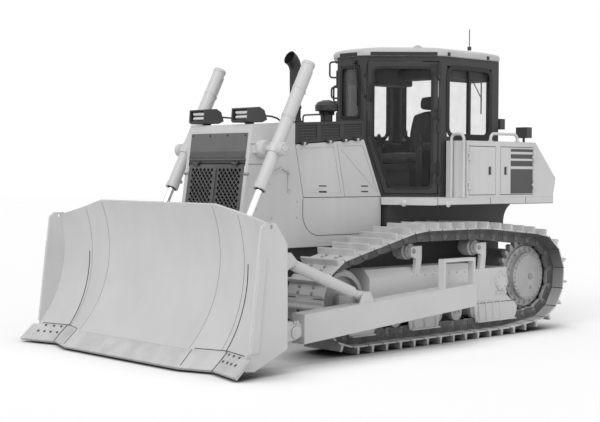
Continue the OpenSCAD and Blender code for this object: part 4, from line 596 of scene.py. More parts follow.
dress(finned("radiator_fins", 0.13), "radiator")
(rear_x, _, _), (front_x, block_side, block_top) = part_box("engine")
fittings = Work()
for k in range(5):
    x = rear_x + 0.09 + 0.135 * k
    fittings.block((x - 0.055, -0.13, block_top - 0.002), (x + 0.055, 0.13, block_top + 0.05))
    for y in (-0.105, 0.105):
        fittings.bolt((x, y, block_top + 0.05), upward, 0.010)
    fittings.tube([(x, block_side - 0.01, block_top - 0.14), (x, block_side + 0.03, block_top - 0.14),
        (x + 0.02, block_side + 0.055, block_top - 0.17)], 0.024)
    fittings.tube([(x, off - block_side, block_top - 0.12) for off in (0.01, -0.06)], 0.022)
for y, down, radius in ((block_side + 0.06, 0.18, 0.038), (-block_side - 0.065, 0.12, 0.042)):
    fittings.tube([(x, y, block_top - down) for x in (rear_x + 0.05, front_x - 0.06)], radius, 16)
for side in (-1, 1):
    for x in (rear_x + 0.17, rear_x + 0.32):
        fittings.turned((x, side * (block_side + 0.062), block_top - 0.56), upward,
            [(0, 0.02), (0.008, 0.048), (0.015, 0.05), (0.17, 0.05), (0.178, 0.044), (0.20, 0.044),
            (0.205, 0.055), (0.225, 0.055)], 20)
    fittings.turned((front_x - 0.20, side * (block_side + 0.005), block_top - 0.42), forward,
        [(0, 0.05), (0.01, 0.065), (0.13, 0.065), (0.14, 0.05), (0.17, 0.018)], 20)
    for k in range(6):
        fittings.bolt((rear_x + 0.06 + 0.12 * k, side * block_side, block_top - 0.68), (0, side, 0), 0.011)
put(fittings, "engine_fittings", black_iron, "chassis", 0.004)

# Nose and engine doors: folded steel sheets in pale paint, with shadow gaps between the sheets.
# The nose carries the cylinder yokes, a bracket on each side and the catches of the grille.

nose_side = 0.48
hands = ((1, "left"), (-1, "right"))


def nose_paint_and_shade():
    """The pale paint, with painted shade: the recess between the plate and the grille is coloured dark."""
    finish = sprayed("nose_paint_and_shade", 0.86)
    tree = finish.node_tree
    surface = tree.nodes["Principled BSDF"]
    coat = Signal(tree, surface.inputs["Base Color"].links[0].from_socket)
    place = coat.node("ShaderNodeTexCoord", None, None, "Object")
    x, y, z = (place.part(axis) for axis in range(3))
    # Painted shade: a dark patch fills the recess between the plate and the grille.
    recess_shade = x.between(1.44, 1.445) * (y * y).between(0.193, 0.190)
    recess_shade = recess_shade * z.between(1.806, 1.810) * z.between(1.885, 1.880)
    coat.wire(surface, {"Base Color": recess_shade.blend(coat, grey(0.20))})
    return finish


dress(nose_paint_and_shade(), "nose")
dress(pale_paint, "engine_door_fl", "engine_door_rl", "engine_door_fr", "engine_door_rr", "lift_yokes")
dark_paint = sprayed("dark_paint", 0.20, 0.38, 0.32, 0.5, 0.06)
dress(dark_paint, "hood", "precleaner", "antenna", "cab_frame", "cab_door_l", "cab_door_r")
seams = Work()
for z, front in ((2.018, 1.474), (1.825, 1.501)):
    seams.band([(1.25, nose_side, z), (front, nose_side, z)], leftward, 0.005, 0.001)
corner = [(0.56 + 0.224 * cos(a), nose_side, 1.337 + 0.224 * sin(a)) for a in steps(0, -pi / 2, 10)]
seams.band([(0.782, nose_side, 1.484)] + corner + [(-0.10, nose_side, 1.113)], leftward, 0.007, 0.001)
put(seams.mirrored(), "nose_seams", seam_and_shadow_dark, "chassis")
mounts = Work()
mounts.block((0.958, nose_side - 0.002, 1.545), (0.992, nose_side + 0.010, 1.765))
for z in (1.575, 1.735):
    mounts.bolt((0.975, nose_side + 0.010, z), leftward, 0.009)
mounts.tube([(x, nose_side + off, z) for x, off, z in ((1.20, 0.002, 1.735), (1.17, 0.014, 1.751),
    (1.078, 0.014, 1.79), (1.0, 0.014, 1.752), (0.985, 0.004, 1.748))], 0.008)
for x, z in ((1.40, 1.40), (1.40, 1.62), (1.20, 1.30), (0.86, 1.30), (0.86, 1.46)):
    mounts.bolt((x, nose_side, z), leftward, 0.008)
put(mounts.mirrored(), "nose_brackets", pale_paint, "chassis", 0.002)
catches = Work()
catches.turned((1.512, 0.435, 1.73), leftward,
    [(0, 0.016), (0.05, 0.016), (0.053, 0.011), (0.060, 0.011)], 14)
catches.turned((1.498, 0.450, 1.73), (1, 0, 0.1),
    [(0, 0.020), (0.012, 0.020), (0.016, 0.012), (0.024, 0.012)], 14)
put(catches.mirrored(), "grille_catches", bolt_steel, "chassis")
for x, z, end in ((0.503, 1.612, "front_"), (-0.105, 1.609, "rear_")):
    for side, hand in hands:
        latch = Work()
        latch.block((x - 0.052, side * 0.4735, z - 0.006), (x + 0.052, side * 0.4775, z + 0.006))
        latch.block((x - 0.052, side * 0.4735, z - 0.072), (x + 0.052, side * 0.479, z - 0.050))
        latch.turned((x, side * 0.478, z - 0.061), (0, side, 0),
            [(0, 0.009), (0.004, 0.009), (0.005, 0.006)], 12)
        put(latch, "engine_latch_" + end + hand, seam_and_shadow_dark, "engine_door_" + end + hand,
            0.0015)

# Hood: a dark lid over the engine with louvred openings along both sides. The pre-cleaner stands
# on it behind a bent hand rail.

slats, hood_front = Work(), 0.8846
slat_edge = ((0.4715, 0.011), (0.4785, -0.006), (0.4775, -0.010), (0.4715, 0.002))
for high_x, low_x in ((0.8546, 0.5916), (0.5316, 0.2696), (0.2096, -0.0534)):
    for k in range(5):
        rows = []
        for x in (high_x - 0.004, low_x + 0.004):
            low_z, top_z = 2.0593 - 0.0724 * (x - hood_front), 2.2122 - 0.0475 * (x - hood_front)
            z = low_z + (top_z - low_z) * (k + 0.5) / 5
            rows.append([(x, y, z + rise) for y, rise in slat_edge])
        slats.skin(rows, True, True)
put(slats.mirrored(), "hood_slats", dark_paint, "chassis")
cleaner_foot = Vector((-0.0084, 0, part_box("precleaner")[0][2]))
fins = Work()
for out in circle(Vector(forward), Vector(leftward), 28):
    side = Vector((-out.y, out.x, 0)) * 0.0022
    inner, outer = (cleaner_foot + out * reach for reach in (0.055, 0.083))
    fins.skin([[p + Vector((0, 0, z)) for p in (inner - side, outer - side, outer + side, inner + side)]
        for z in (0.070, 0.132)], True, True)
fins.turned(cleaner_foot + Vector((0, 0, 0.222)), upward, [(0, 0.016), (0.004, 0.016), (0.005, 0.011)], 12)
put(fins, "cleaner_fins", dark_paint, "chassis")
hood_rail = Work()
rail_x, rail_foot = 0.205, 2.274
rail_path = [(rail_x, -0.14, rail_foot - 0.004), (rail_x, -0.14, rail_foot + 0.05)]
rail_path += [(rail_x, -0.11 - 0.03 * cos(a), rail_foot + 0.05 + 0.03 * sin(a))
    for a in steps(0, pi / 2, 6)[1:]]
rail_path += [(rail_x, -y, z) for _, y, z in reversed(rail_path)]
hood_rail.tube(rail_path, 0.009)
put(hood_rail, "hood_rail", dark_paint, "chassis")

# Front plate and grille door: a blank plate of sheet steel on screws, and below it a dark pierced
# screen of steel with a rib down its middle, hinged along its top edge.

plate_grey = sprayed("plate_grey", 0.42, 0.40, 0.5, 0.5, 0.0)
dress(plate_grey, "front_panel")
nose_top_x, nose_lean, nose_top_z, nose_foot_z = 1.4466, 0.145, 2.211, 1.200


def nose_x(z):
    """Where the nose's front sheet stands at a height."""
    return nose_top_x + nose_lean * (nose_top_z - z) / (nose_top_z - nose_foot_z)


plate_screws = Work()
nose_out = Vector((1, 0, 0.1434)).normalized()
for z, places in ((2.105, (-0.405, -0.135, 0.135, 0.405)), (1.895, (-0.405, 0.405))):
    for y in places:
        plate_screws.bolt(Vector((nose_x(z) + 0.010, y, z)), nose_out, 0.008)
put(plate_screws, "plate_screws", seam_and_shadow_dark, "chassis")
foot_band, strip_z = Work(), 1.912
foot_band.band([(nose_x(strip_z) + 0.010, y, strip_z) for y in (-0.42, 0.42)], nose_out, 0.075, 0.003)
for ends in ((-0.40, -0.17), (-0.14, 0.14), (0.17, 0.40)):
    foot_band.band([(nose_x(strip_z) + 0.012, y, strip_z) for y in ends], nose_out, 0.05, 0.004)
foot_grey = sprayed("foot_grey", 0.34, 0.45, 0.45, 0.5, 0.0)
put(foot_band, "plate_foot", foot_grey, "chassis", 0.0015)
screen_wire = forged("screen_wire", 0.40, 0.3, 0.5)
dress(screen_wire, "grille_door")
grille_rib = Work()
grille_rib.band([(nose_x(z) + 0.004, 0, z) for z in (1.79, 1.20)], nose_out, 0.022, 0.006)
put(grille_rib, "grille_rib", screen_wire, "grille", 0.002)

# Head lamps: two moulded housings on the nose, each with a pair of strip reflectors behind its
# lens, and a conduit back to the hood.

moulded_black = sprayed("moulded_black", 0.15, 0.55, 0.22, 0.2, 0.0)
housing_grey = sprayed("housing_grey", 0.27, 0.5, 0.36, 0.4, 0.0)
dress(housing_grey, "headlamps")


def lit_glass(name, tone):
    """A moulded lens over a bright reflector, with upright flutes."""
    finish, surface, place = start(name)
    flutes = place.bands("Y", 48.0)
    place.wire(surface, {"Base Color": flutes.blend(grey(tone - 0.08), grey(tone)),
        "Roughness": 0.10 + 0.06 * flutes, "Normal": flutes.relief(0.3, 0.002)})
    return finish


lamp_lens = lit_glass("lamp_lens", 0.97)
lamp_y, lamp_x = 0.33, 1.4896
lenses, visors = Work(), Work()
visors.block((lamp_x - 0.054, lamp_y - 0.107, 2.255), (lamp_x - 0.046, lamp_y + 0.107, 2.353))
for z in (2.281, 2.327):
    arc = [(lamp_x - 0.046 + 0.020 * cos(a), z + 0.017 * sin(a)) for a in steps(-pi / 2, pi / 2, 8)]
    lenses.skin([[(x, y, z) for x, z in arc] for y in (lamp_y - 0.088, lamp_y + 0.088)], True, True)
put(lenses.mirrored(), "lamp_lenses", lamp_lens, "chassis")
visors.tube([(x, lamp_y - inward, z) for x, inward, z in ((1.262, 0, 2.300), (1.22, 0, 2.305),
    (1.05, 0.02, 2.300), (0.95, 0.05, 2.285), (0.90, 0.06, 2.262), (0.888, 0.06, 2.235))], 0.009)
put(visors.mirrored(), "lamp_backs", moulded_black, "chassis")

# Exhaust: a black pipe with a foot flange on the hood, widening upwards, bent forward at the top
# and open.

pipe_x, pipe_r, pipe_tip_r, pipe_wall = 0.4476, 0.056, 0.074, 0.006
bend_z, bend_r, bend_a = 2.80, 0.145, radians(66)
foot_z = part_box("exhaust")[0][2]
straight = 6
pipe_path = [(Vector((pipe_x, 0, z)), 0.0) for z in steps(foot_z, bend_z, straight)]
pipe_path += [(Vector((pipe_x + bend_r - bend_r * cos(a), 0, bend_z + bend_r * sin(a))), a)
    for a in steps(0, bend_a, 14)[1:]]


def pipe_ring(k, wall):
    point, lean = pipe_path[k]
    radius = pipe_r + (pipe_tip_r - pipe_r) * k / (len(pipe_path) - 1) - wall
    across = Vector((cos(lean), 0, -sin(lean)))
    return [point + spoke * radius for spoke in circle(across, Vector(leftward), 32)]


stack = Work()
rings = range(len(pipe_path))
outside = [pipe_ring(k, 0.0) for k in rings]
lining = [pipe_ring(k, pipe_wall) for k in rings[straight:]]
stack.skin(outside + lining[::-1], True, True)
stack.turned((pipe_x, 0, foot_z), upward,
    [(0, 0.088), (0.012, 0.088), (0.016, 0.082), (0.016, 0.064), (0.05, 0.060)], 32)
stack.turned((pipe_x, 0, foot_z + 0.14), upward,
    [(0, 0.058), (0.003, 0.065), (0.027, 0.065), (0.03, 0.058)], 32)
stack.bolt_ring((pipe_x, 0, foot_z + 0.012), upward, forward, 0.076, 6, 0.007)
soot_black = sprayed("soot_black", 0.16, 0.48, 0.26, 0.4, 0.0)
put(stack, "exhaust_pipe", soot_black, "chassis", 0.0, ("exhaust",))

# Cab roof: a pressed steel shell with rounded corners and a shallow crown, in pale paint. A dark
# visor strip runs below its front edges, and a lamp socket and two clips sit on its rim.

roof_low = 2.9955
roof_plan = [(-0.3304, 0.227), (-0.3304, -0.227), (-0.9554, -0.81), (-1.9634, -0.81), (-1.9634, 0.81),
    (-0.9554, 0.81)]


def rounded_corners(outline, radius):
    """An outline with each corner cut back to a curve."""
    points = []
    for k, corner in enumerate(map(Vector, outline)):
        before = (Vector(outline[k - 1]) - corner).normalized() * radius
        after = (Vector(outline[(k + 1) % len(outline)]) - corner).normalized() * radius
        points += [corner + before * (1 - s) ** 2 + after * s * s for s in steps(0, 1, 6)]
    return points


roof_rim = rounded_corners(roof_plan, 0.10)
roof_mid = Vector((-1.25, 0.0))
roof = Work()
roof_rows = []
for shrink, rise in ((0.985, 0.0), (1.0, 0.006), (1.0, 0.045), (0.994, 0.058), (0.975, 0.070), (0.93, 0.082),
        (0.84, 0.098), (0.68, 0.114), (0.45, 0.125), (0.2, 0.1295), (0.02, 0.13)):
    roof_rows.append([(*(roof_mid + (p - roof_mid) * shrink), roof_low + rise) for p in roof_rim])
roof.skin(roof_rows, True, True)
roof.turned((-0.885, 0.50, roof_low + 0.085), (0.15, 0.15, 1),
    [(0, 0.05), (0.024, 0.05), (0.030, 0.043), (0.030, 0.03), (0.042, 0.026)], 24)
put(roof, "roof_shell", sprayed("roof_paint", 0.79), "chassis", 0.0, ("cab_roof",))
visor, visor_z = Work(), roof_low + 0.022
for side in (-1, 1):
    ends = [(-0.905, side * 0.765, visor_z), (-0.385, side * 0.276, visor_z)]
    visor.band(ends, (cab_front.x, side * cab_front.y, 0), 0.040, 0.004)
    for x in (-1.04, -1.70):
        visor.block((x - 0.018, side * 0.806, roof_low + 0.004), (x + 0.018, side * 0.818, roof_low + 0.044))
visor.band([(-0.3304, y, visor_z) for y in (-0.13, 0.13)], forward, 0.040, 0.004)
put(visor, "roof_visor", moulded_black, "chassis", 0.002)

# Cab glass: flat tinted panes in rubber gaskets, set in the frame and in the doors. The narrow
# front pane is darker. A wiper is parked across it and another across the rear pane.


def pane(name, tint, clear, front_tint):
    """Thin tinted glass: clear face on, mirror-like at a slant, a little dust."""
    finish, surface, place = start(name)
    slant = place.node("ShaderNodeLayerWeight", None, {"Blend": 0.25}, "Facing")
    film = place.noise(9.0, 4.0).between(0.35, 0.75)
    front = place.part(0).between(-0.50, -0.45) * front_tint
    rain = place.stretched((9.0, 9.0, 0.8)).noise(1.0, 3.0).between(0.35, 0.7)
    tone = front.blend(film.blend(grey(tint), grey(tint + 0.06)), rain.blend(grey(0.24), grey(0.40)))
    place.wire(surface, {"Base Color": tone, "Roughness": 0.03 + 0.05 * film,
        "Alpha": (1.0 - clear) + 0.40 * slant * slant + 0.03 * film + 0.75 * front, "IOR": 1.5})
    return finish


dress(pane("cab_glass", 0.50, 0.95, 1.0), "cab_glass")
dress(pane("door_glass", 0.46, 0.95, 0.0), "door_glass_l", "door_glass_r")
rubber = sprayed("rubber", 0.13, 0.62, 0.2, 0.0, 0.0)


def window(low, high, radius):
    """The outline of an upright pane with rounded corners."""
    return rounded_corners([low, (high[0], low[1]), high, (low[0], high[1])], radius)


gaskets = Work()
for side in (-1, 1):
    side_window = window((-1.79, 2.148), (-1.063, 2.887), 0.11)
    gaskets.band([(x, side * 0.78, z) for x, z in side_window], (0, side, 0), 0.050, 0.007, True)
    gaskets.block((-1.445, side * 0.748, 2.135), (-1.408, side * 0.785, 2.900))
rear_window = window((-0.637, 2.148), (0.637, 2.887), 0.11)
gaskets.band([(-1.9334, y, z) for y, z in rear_window], (-1, 0, 0), 0.050, 0.007, True)
front_window = window((-0.135, 2.342), (0.135, 2.888), 0.05)
gaskets.band([(-0.3604, y, z) for y, z in front_window], forward, 0.034, 0.006, True)
put(gaskets, "window_gaskets", rubber, "chassis", 0.002)
wipers = Work()
spindle = [(-0.002, 0.022), (0.028, 0.022), (0.034, 0.014)]
wipers.turned((-0.3604, 0.075, 2.935), forward, spindle, 16)
wipers.tube([(-0.338, 0.075, 2.935), (-0.330, 0.090, 2.89), (-0.330, 0.150, 2.66),
    (-0.338, 0.160, 2.62)], 0.006)
wipers.block((-0.351, 0.118, 2.46), (-0.336, 0.126, 2.86))
wipers.turned((-1.9334, 0.30, 2.935), (-1, 0, 0), spindle, 16)
wipers.tube([(-1.956, 0.30, 2.935), (-1.962, 0.32, 2.90), (-1.962, 0.51, 2.60), (-1.956, 0.52, 2.58)], 0.006)
wipers.block((-1.957, 0.514, 2.42), (-1.942, 0.522, 2.80))
put(wipers, "wipers", moulded_black, "chassis", 0.001)

# Cab doors: framed panes on three pin hinges at the rear post, with a grip at the free edge. A
# pair of hand loops stands on each front post.


def on_slant(u, z, off, side):
    """A point on a slanted cab face: u from the rear post, off outwards."""
    return Vector((cab_corner.x + cab_front.y * u + cab_front.x * off,
        side * (cab_corner.y - cab_front.x * u + cab_front.y * off), z))


door_light = rounded_corners([(0.096, 1.588), (0.538, 1.588), (0.726, 2.10), (0.726, 2.873),
    (0.096, 2.873)], 0.07)
grip_path = ((2.52, -0.002), (2.525, 0.034), (2.55, 0.042), (2.67, 0.042), (2.695, 0.034), (2.70, -0.002))
grip_u, loop_u, loop_r, loop_foot = 0.757, 0.812, 0.03, -0.004
loops = Work()
for side, hand in hands:
    out = (cab_front.x, side * cab_front.y, 0)
    door = "cab_door_" + hand
    seal = Work()
    seal.band([on_slant(u, z, 0, side) for u, z in door_light], out, 0.030, 0.004, True)
    put(seal, "door_seal_" + hand, rubber, door, 0.001)
    grip = Work()
    for z in (1.80, 2.38, 2.86):
        grip.slab([on_slant(u, h, off, side) for u in (0.040, 0.112) for off in (-0.002, 0.016)
            for h in (z - 0.055, z + 0.055)])
        grip.turned((-0.924, side * 0.7692, z - 0.062), upward,
            [(0, 0.012), (0.004, 0.015), (0.120, 0.015), (0.124, 0.012)], 14)
        for u in (0.062, 0.094):
            for h in (-0.03, 0.03):
                grip.bolt(on_slant(u, z + h, 0.016, side), out, 0.006)
    grip.tube([on_slant(grip_u, z, off, side) for z, off in grip_path], 0.010)
    grip.slab([on_slant(u, h, off, side) for u in (0.738, 0.777) for off in (-0.002, 0.008)
        for h in (2.14, 2.30)])
    put(grip, "door_fittings_" + hand, moulded_black, door, 0.002)
    for low, high, off in ((2.785, 2.955, 0.085), (2.56, 2.68, 0.065)):
        off -= loop_r
        path = [(low, loop_foot), (low, off)]
        path += [(low + loop_r - loop_r * cos(a), off + loop_r * sin(a)) for a in steps(0, pi / 2, 5)[1:]]
        path += [(high - loop_r + loop_r * sin(a), off + loop_r * cos(a)) for a in steps(0, pi / 2, 5)]
        path += [(high, loop_foot)]
        loops.tube([on_slant(loop_u, z, reach, side) for z, reach in path], 0.010)
put(loops, "hand_loops", dark_paint, "chassis")

# Operator's place: an upholstered seat on a steel box, armrests with a lever each, a console with
# its screen before the front window, and lined lockers under the roof.

dress(moulded_black, "console")
cab_lining = sprayed("lining", 0.26, 0.75, 0.3, 0.0, 0.0)
lockers = Work()
for side in (-1, 1):
    lockers.block((-1.86, side * 0.44, 2.765), (-1.02, side * 0.715, 2.99))
lockers.block((-1.868, -0.43, 2.83), (-1.62, 0.43, 2.99))
put(lockers, "roof_lockers", cab_lining, "chassis", 0.02)
console_low, console_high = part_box("console")
mid_x, console_top = (console_low[0] + console_high[0]) / 2, console_high[2]
screen = Work()
screen.block((mid_x - 0.03, -0.085, console_top - 0.01), (mid_x, 0.085, console_top + 0.12))
screen.turned((mid_x + 0.01, 0.0, console_top - 0.06), upward, [(0, 0.02), (0.06, 0.02)], 12)
put(screen, "console_screen", moulded_black, "chassis", 0.008)
seat_rear, seat_front, deck_z = -1.5304, -1.0104, 1.5123


def weave(name, tone):
    """Woven cover cloth: crossed threads, darker between them, soft all over."""
    finish, surface, place = start(name)
    threads = [place.bands(axis, 130.0, 0.4) for axis in "XYZ"]
    weft = (threads[0] + threads[1] + threads[2]) * 0.34
    rubbed = place.noise(6.0, 4.0)
    shade = (0.7 * weft + 0.4 * rubbed).between(0.2, 0.9).blend(grey(tone - 0.05), grey(tone + 0.06))
    place.wire(surface, {"Base Color": shade, "Roughness": 0.78 + 0.15 * weft,
        "Normal": weft.relief(0.35, 0.0012), "Sheen Weight": 0.25})
    return finish


seat_cloth = weave("seat_cloth", 0.20)


def cushion(name, low, high, lean=0.0, pivot=(0, 0)):
    """A stuffed pad: crowned faces, sides that pull in between the corners, two sewn channels."""
    count, fullness = 28, 0.55
    channel_y, channel_half, channel_depth = 0.55, 0.07, 0.06
    middle = [(low[i] + high[i]) / 2 for i in range(3)]
    half = [(high[i] - low[i]) / 2 for i in range(3)]
    pad = Work()
    rows = []
    for r in range(count + 1):
        polar = pi * r / count - pi / 2
        row = []
        for k in range(2 * count):
            a = pi * k / count
            ball = (cos(a) * cos(polar), sin(a) * cos(polar), sin(polar))
            soft = fullness + (1 - fullness) / max(abs(c) for c in ball)
            x, y, z = (max(-1.0, min(1.0, c * soft)) for c in ball)
            sewn = 1.0 - channel_depth * max(0.0, 1 - abs(abs(y) - channel_y) / channel_half) ** 2
            x, y, z = (m + h * c for m, h, c in zip(middle, half, (x * sewn, y, z * sewn)))
            dx, dz = x - pivot[0], z - pivot[1]
            row.append((pivot[0] + dx * cos(lean) + dz * sin(lean), y,
                pivot[1] - dx * sin(lean) + dz * cos(lean)))
        rows.append(row)
    pad.skin(rows, True, True)
    put(pad, name, seat_cloth, "chassis")


seat_lean, seat_hinge = -atan2(0.13, 0.72), (seat_rear, deck_z + 0.40)
arm_y, arm_half, arm_top = 0.305, 0.045, deck_z + 0.50
cushion("seat_cushion", (seat_rear + 0.02, -0.25, deck_z + 0.335), (seat_front, 0.25, deck_z + 0.465))
cushion("seat_back", (seat_rear - 0.105, -0.245, deck_z + 0.44), (seat_rear + 0.035, 0.245, deck_z + 0.96),
    seat_lean, seat_hinge)
cushion("head_rest", (seat_rear - 0.085, -0.14, deck_z + 0.975), (seat_rear + 0.02, 0.14, deck_z + 1.13),
    seat_lean, seat_hinge)
seat_box = Work()
seat_box.block((seat_rear - 0.02, -0.22, deck_z), (seat_front - 0.06, 0.22, deck_z + 0.26))
seat_box.block((seat_rear - 0.05, -0.24, deck_z + 0.26), (seat_front - 0.01, 0.24, deck_z + 0.335))
for side in (-1, 1):
    seat_box.block((seat_rear, side * arm_y - arm_half, deck_z),
        (seat_rear + 0.40, side * arm_y + arm_half, arm_top))
    seat_box.turned((seat_rear + 0.37, side * arm_y, arm_top), (0.15, 0, 1), [(0, 0.032), (0.02, 0.026),
        (0.035, 0.010), (0.09, 0.010), (0.10, 0.02), (0.15, 0.024), (0.175, 0.016), (0.18, 0)], 16)
put(seat_box, "seat_stand", moulded_black, "chassis", 0.012, ("seat",))
for side, hand in reversed(hands):
    cushion("arm_pad_" + hand, (seat_rear + 0.01, side * arm_y - arm_half, arm_top),
        (seat_rear + 0.31, side * arm_y + arm_half, arm_top + 0.075))

# Fender boxes and rear tank: sheet boxes in pale paint beside and behind the cab, with doors hung
# on pin hinges, and the tubular rails and rear lamps on them. The rear doors carry dark bars and a
# blank dark plate, and each door has a pull in its recess.

dress(pale_paint, "fender_boxes", "rear_tank", "box_door_fl", "box_door_rl", "box_door_fr", "box_door_rr",
    "grab_rails")
box_face, recess, hook, pull_z, tank_top = 1.08, 1.0685, 1.077, 1.777, 2.058
bar_grey = sprayed("bar_grey", 0.30, 0.4, 0.4, 0.4, 0.05)
for side, hand in hands:
    bars = Work()
    for low, high in ((1.987, 2.018), (1.912, 1.960), (1.828, 1.888), (1.527, 1.797)):
        bar = [(x, side * box_face, (low + high) / 2) for x in (-1.777, -2.173)]
        bars.band(bar, (0, side, 0), high - low, 0.0012)
    put(bars, "box_bars_" + hand, bar_grey, "box_door_rear_" + hand)
    for x, end in ((-1.4204, "front_"), (-1.6914, "rear_")):
        pull = Work()
        pull.band([(x, side * recess, pull_z + rise) for rise in (-0.042, 0.042)], (0, side, 0),
            0.046, 0.0006)
        pull.tube([(x + off, side * y, pull_z + rise) for off, y, rise in ((0.008, 1.068, 0.03),
            (0.008, hook, 0.026), (0.008, hook, -0.024), (0, hook, -0.033), (-0.010, hook, -0.030))], 0.0045)
        put(pull, "box_pull_" + end + hand, seam_and_shadow_dark, "box_door_" + end + hand)
feet = Work()
for at in ((-0.9964, 1.064, deck_top), (-0.9964, 0.96, deck_top), (-1.9604, 1.025, 2.095),
        (-1.4904, 1.025, 2.095)):
    feet.turned(at, upward, [(0.001, 0.030), (0.008, 0.030), (0.010, 0.026)], 16)
put(feet.mirrored(), "rail_feet", pale_paint, "chassis")
tank_fittings = Work()
tank_fittings.turned((-2.16, -0.38, tank_top), upward,
    [(0, 0.075), (0.018, 0.075), (0.020, 0.066), (0.050, 0.066), (0.056, 0.056), (0.058, 0.001)], 28)
tank_fittings.block((-2.19, -0.39, 2.11), (-2.13, -0.37, 2.126))
tank_fittings.turned((-2.06, 0.10, tank_top), upward,
    [(0, 0.022), (0.05, 0.022), (0.052, 0.034), (0.075, 0.034), (0.08, 0.026)], 20)
put(tank_fittings, "tank_fittings", dark_paint, "chassis", 0.003)
dress(housing_grey, "rear_lamps")
rear_lenses = Work()
for y, low in ((0.94, 2.147), (-0.94, 2.147), (0.56, 2.25)):
    rear_lenses.block((-2.222, y - 0.060, low + 0.017), (-2.214, y + 0.060, low + 0.103))
put(rear_lenses, "rear_lenses", lamp_lens, "chassis", 0.003)

# Blade: one thick curved plate with swept wings, welded to its frame; edges of hardened steel
# are bolted along its foot. Pins hold the arms in its ears, and a clamp grips the left brace.

arc_x, arc_z, arc_r = 3.2493, 0.9925, 1.086
foot_a = radians(228.5)
top_z, end_top_z = 1.456, 1.297
centre_half, wing_y, end_y = 0.90, 1.24, 1.64
wing_back, bit_forward, end_forward = 0.125, 0.1075, 0.040
plate_t = 0.028


def share(y, low, high):
    return max(0.0, min(1.0, (abs(y) - low) / (high - low)))


def blade_point(y, s, depth=0.0):
    """A point of the plate: s runs from its top to its foot, depth goes back into it."""
    top = top_z + (end_top_z - top_z) * share(y, centre_half, end_y)
    top_a = pi - asin((top - arc_z) / arc_r)
    a = top_a + (foot_a - top_a) * s
    out = share(y, wing_y, end_y)
    back = (bit_forward * out - wing_back * share(y, centre_half, wing_y)) * s * s
    back += end_forward * out * (1 - s * s)
    return (arc_x + (arc_r + depth) * cos(a) + back, y, arc_z + (arc_r + depth) * sin(a))


half_places = [0.0, 0.3, 0.6, 0.84] + steps(centre_half, wing_y, 12) + steps(wing_y, end_y, 12)[1:]
places = [-y for y in reversed(half_places[1:])] + half_places
down = steps(0, 1, 44)
blade_plate = Work()
blade_plate.skin([[blade_point(y, s) for s in down] + [blade_point(y, s, plate_t) for s in reversed(down)]
    for y in places], True, True)
blade_paint = sprayed("blade_paint", 0.83, 0.36, 0.62, 0.6, 0.06)
put(blade_plate, "blade_plate", blade_paint, "blade", 0.0, ("moldboard",))
dress(pale_paint, "blade_frame", "push_arm_l", "push_arm_r", "brace_l")
edge_steel = forged("edge_steel", 0.82, 0.10, 0.42)
dress(edge_steel, "cutting_edges")
welds, slits, proud = Work(), Work(), -0.0005
for y in (-0.87, 0.87, -1.19, 1.19):
    welds.tube([blade_point(y, s, proud) for s in steps(0.01, 0.99, 40)], 0.0026, 6)
for side in (-1, 1):
    slits.tube([blade_point(side * wing_y, s, proud) for s in steps(0.345, 0.995, 30)], 0.0055, 6)
    slits.tube([blade_point(side * y, 0.985, proud) for y in steps(0.93, 1.59, 24)], 0.0040, 6)
    slits.tube([(2.519, side * 0.916, 0.185), (2.660, side * 0.928, 0.056)], 0.0030, 6)
    slits.tube([(2.406, side * 1.265, 0.188), (2.487, side * 1.268, 0.116),
        (2.572, side * 1.258, 0.036)], 0.0040, 6)
put(welds, "blade_welds", sprayed("weld_grey", 0.66, 0.5, 0.6, 0.0, 0.0), "blade")
bit_at, bit_out = Vector((2.438, 1.339, 0.174)), Vector((0.65, -0.18, 0.74)).normalized()
bit_bolts = Work()
for z, row in ((0.173, (1.325, 1.42, 1.527)), (0.119, (1.314, 1.400, 1.478, 1.558))):
    for y in row:
        x = bit_at.x - (bit_out.y * (y - bit_at.y) + bit_out.z * (z - bit_at.z)) / bit_out.x
        bit_bolts.turned((x, y, z), bit_out, [(-0.004, 0.014), (0.002, 0.014), (0.004, 0.010)], 12)
put(bit_bolts.mirrored(), "bit_bolts", seam_and_shadow_dark, "blade")
put(slits, "blade_slits", seam_and_shadow_dark, "blade")
end_strips = Work()
end_strips.plate([(2.396, 1.03), (2.317, 1.03), (2.399, 0.215), (2.492, 0.215)], 1.666, 1.680)
put(end_strips.mirrored(), "end_strips", pale_paint, "blade", 0.003)
ear_pins = Work()
ear_pins.turned((1.764, 1.445, 0.322), leftward,
    [(-0.004, 0.058), (0.012, 0.058), (0.015, 0.052), (0.015, 0.032), (0.020, 0.028), (0.023, 0.012)], 24)
ear_pins.block((1.735, 1.443, 0.395), (1.793, 1.455, 0.425))
ear_pins.bolt((1.764, 1.455, 0.410), leftward, 0.010)
put(ear_pins.mirrored(), "ear_pins", pale_paint, "blade", 0.002)
brace_run, (brace_x, brace_y, brace_z) = Vector((0.9343, 0, 0.3565)), (0.782, 1.315, 0.571)
clamp = Vector((brace_x, brace_y, brace_z)) + brace_run * 0.50
brace_collar = Work()
brace_collar.turned(clamp, brace_run,
    [(-0.022, 0.0515), (-0.019, 0.057), (0.019, 0.057), (0.022, 0.0515)], 28)
brace_collar.turned(clamp + Vector((0, 0, 0.055)), leftward, [(-0.02, 0.012), (0.02, 0.012)], 12)
put(brace_collar, "brace_collar", pale_paint, "blade", 0.001)

# Cylinders: honed steel tubes in pale paint with hard-chromed rods. The lift pair hang on
# trunnions, with caps outside and bolted glands below, and their oil pipes are clamped on behind.
# The tilt cylinder stands in the brace's place on the right arm, with two oil ports.


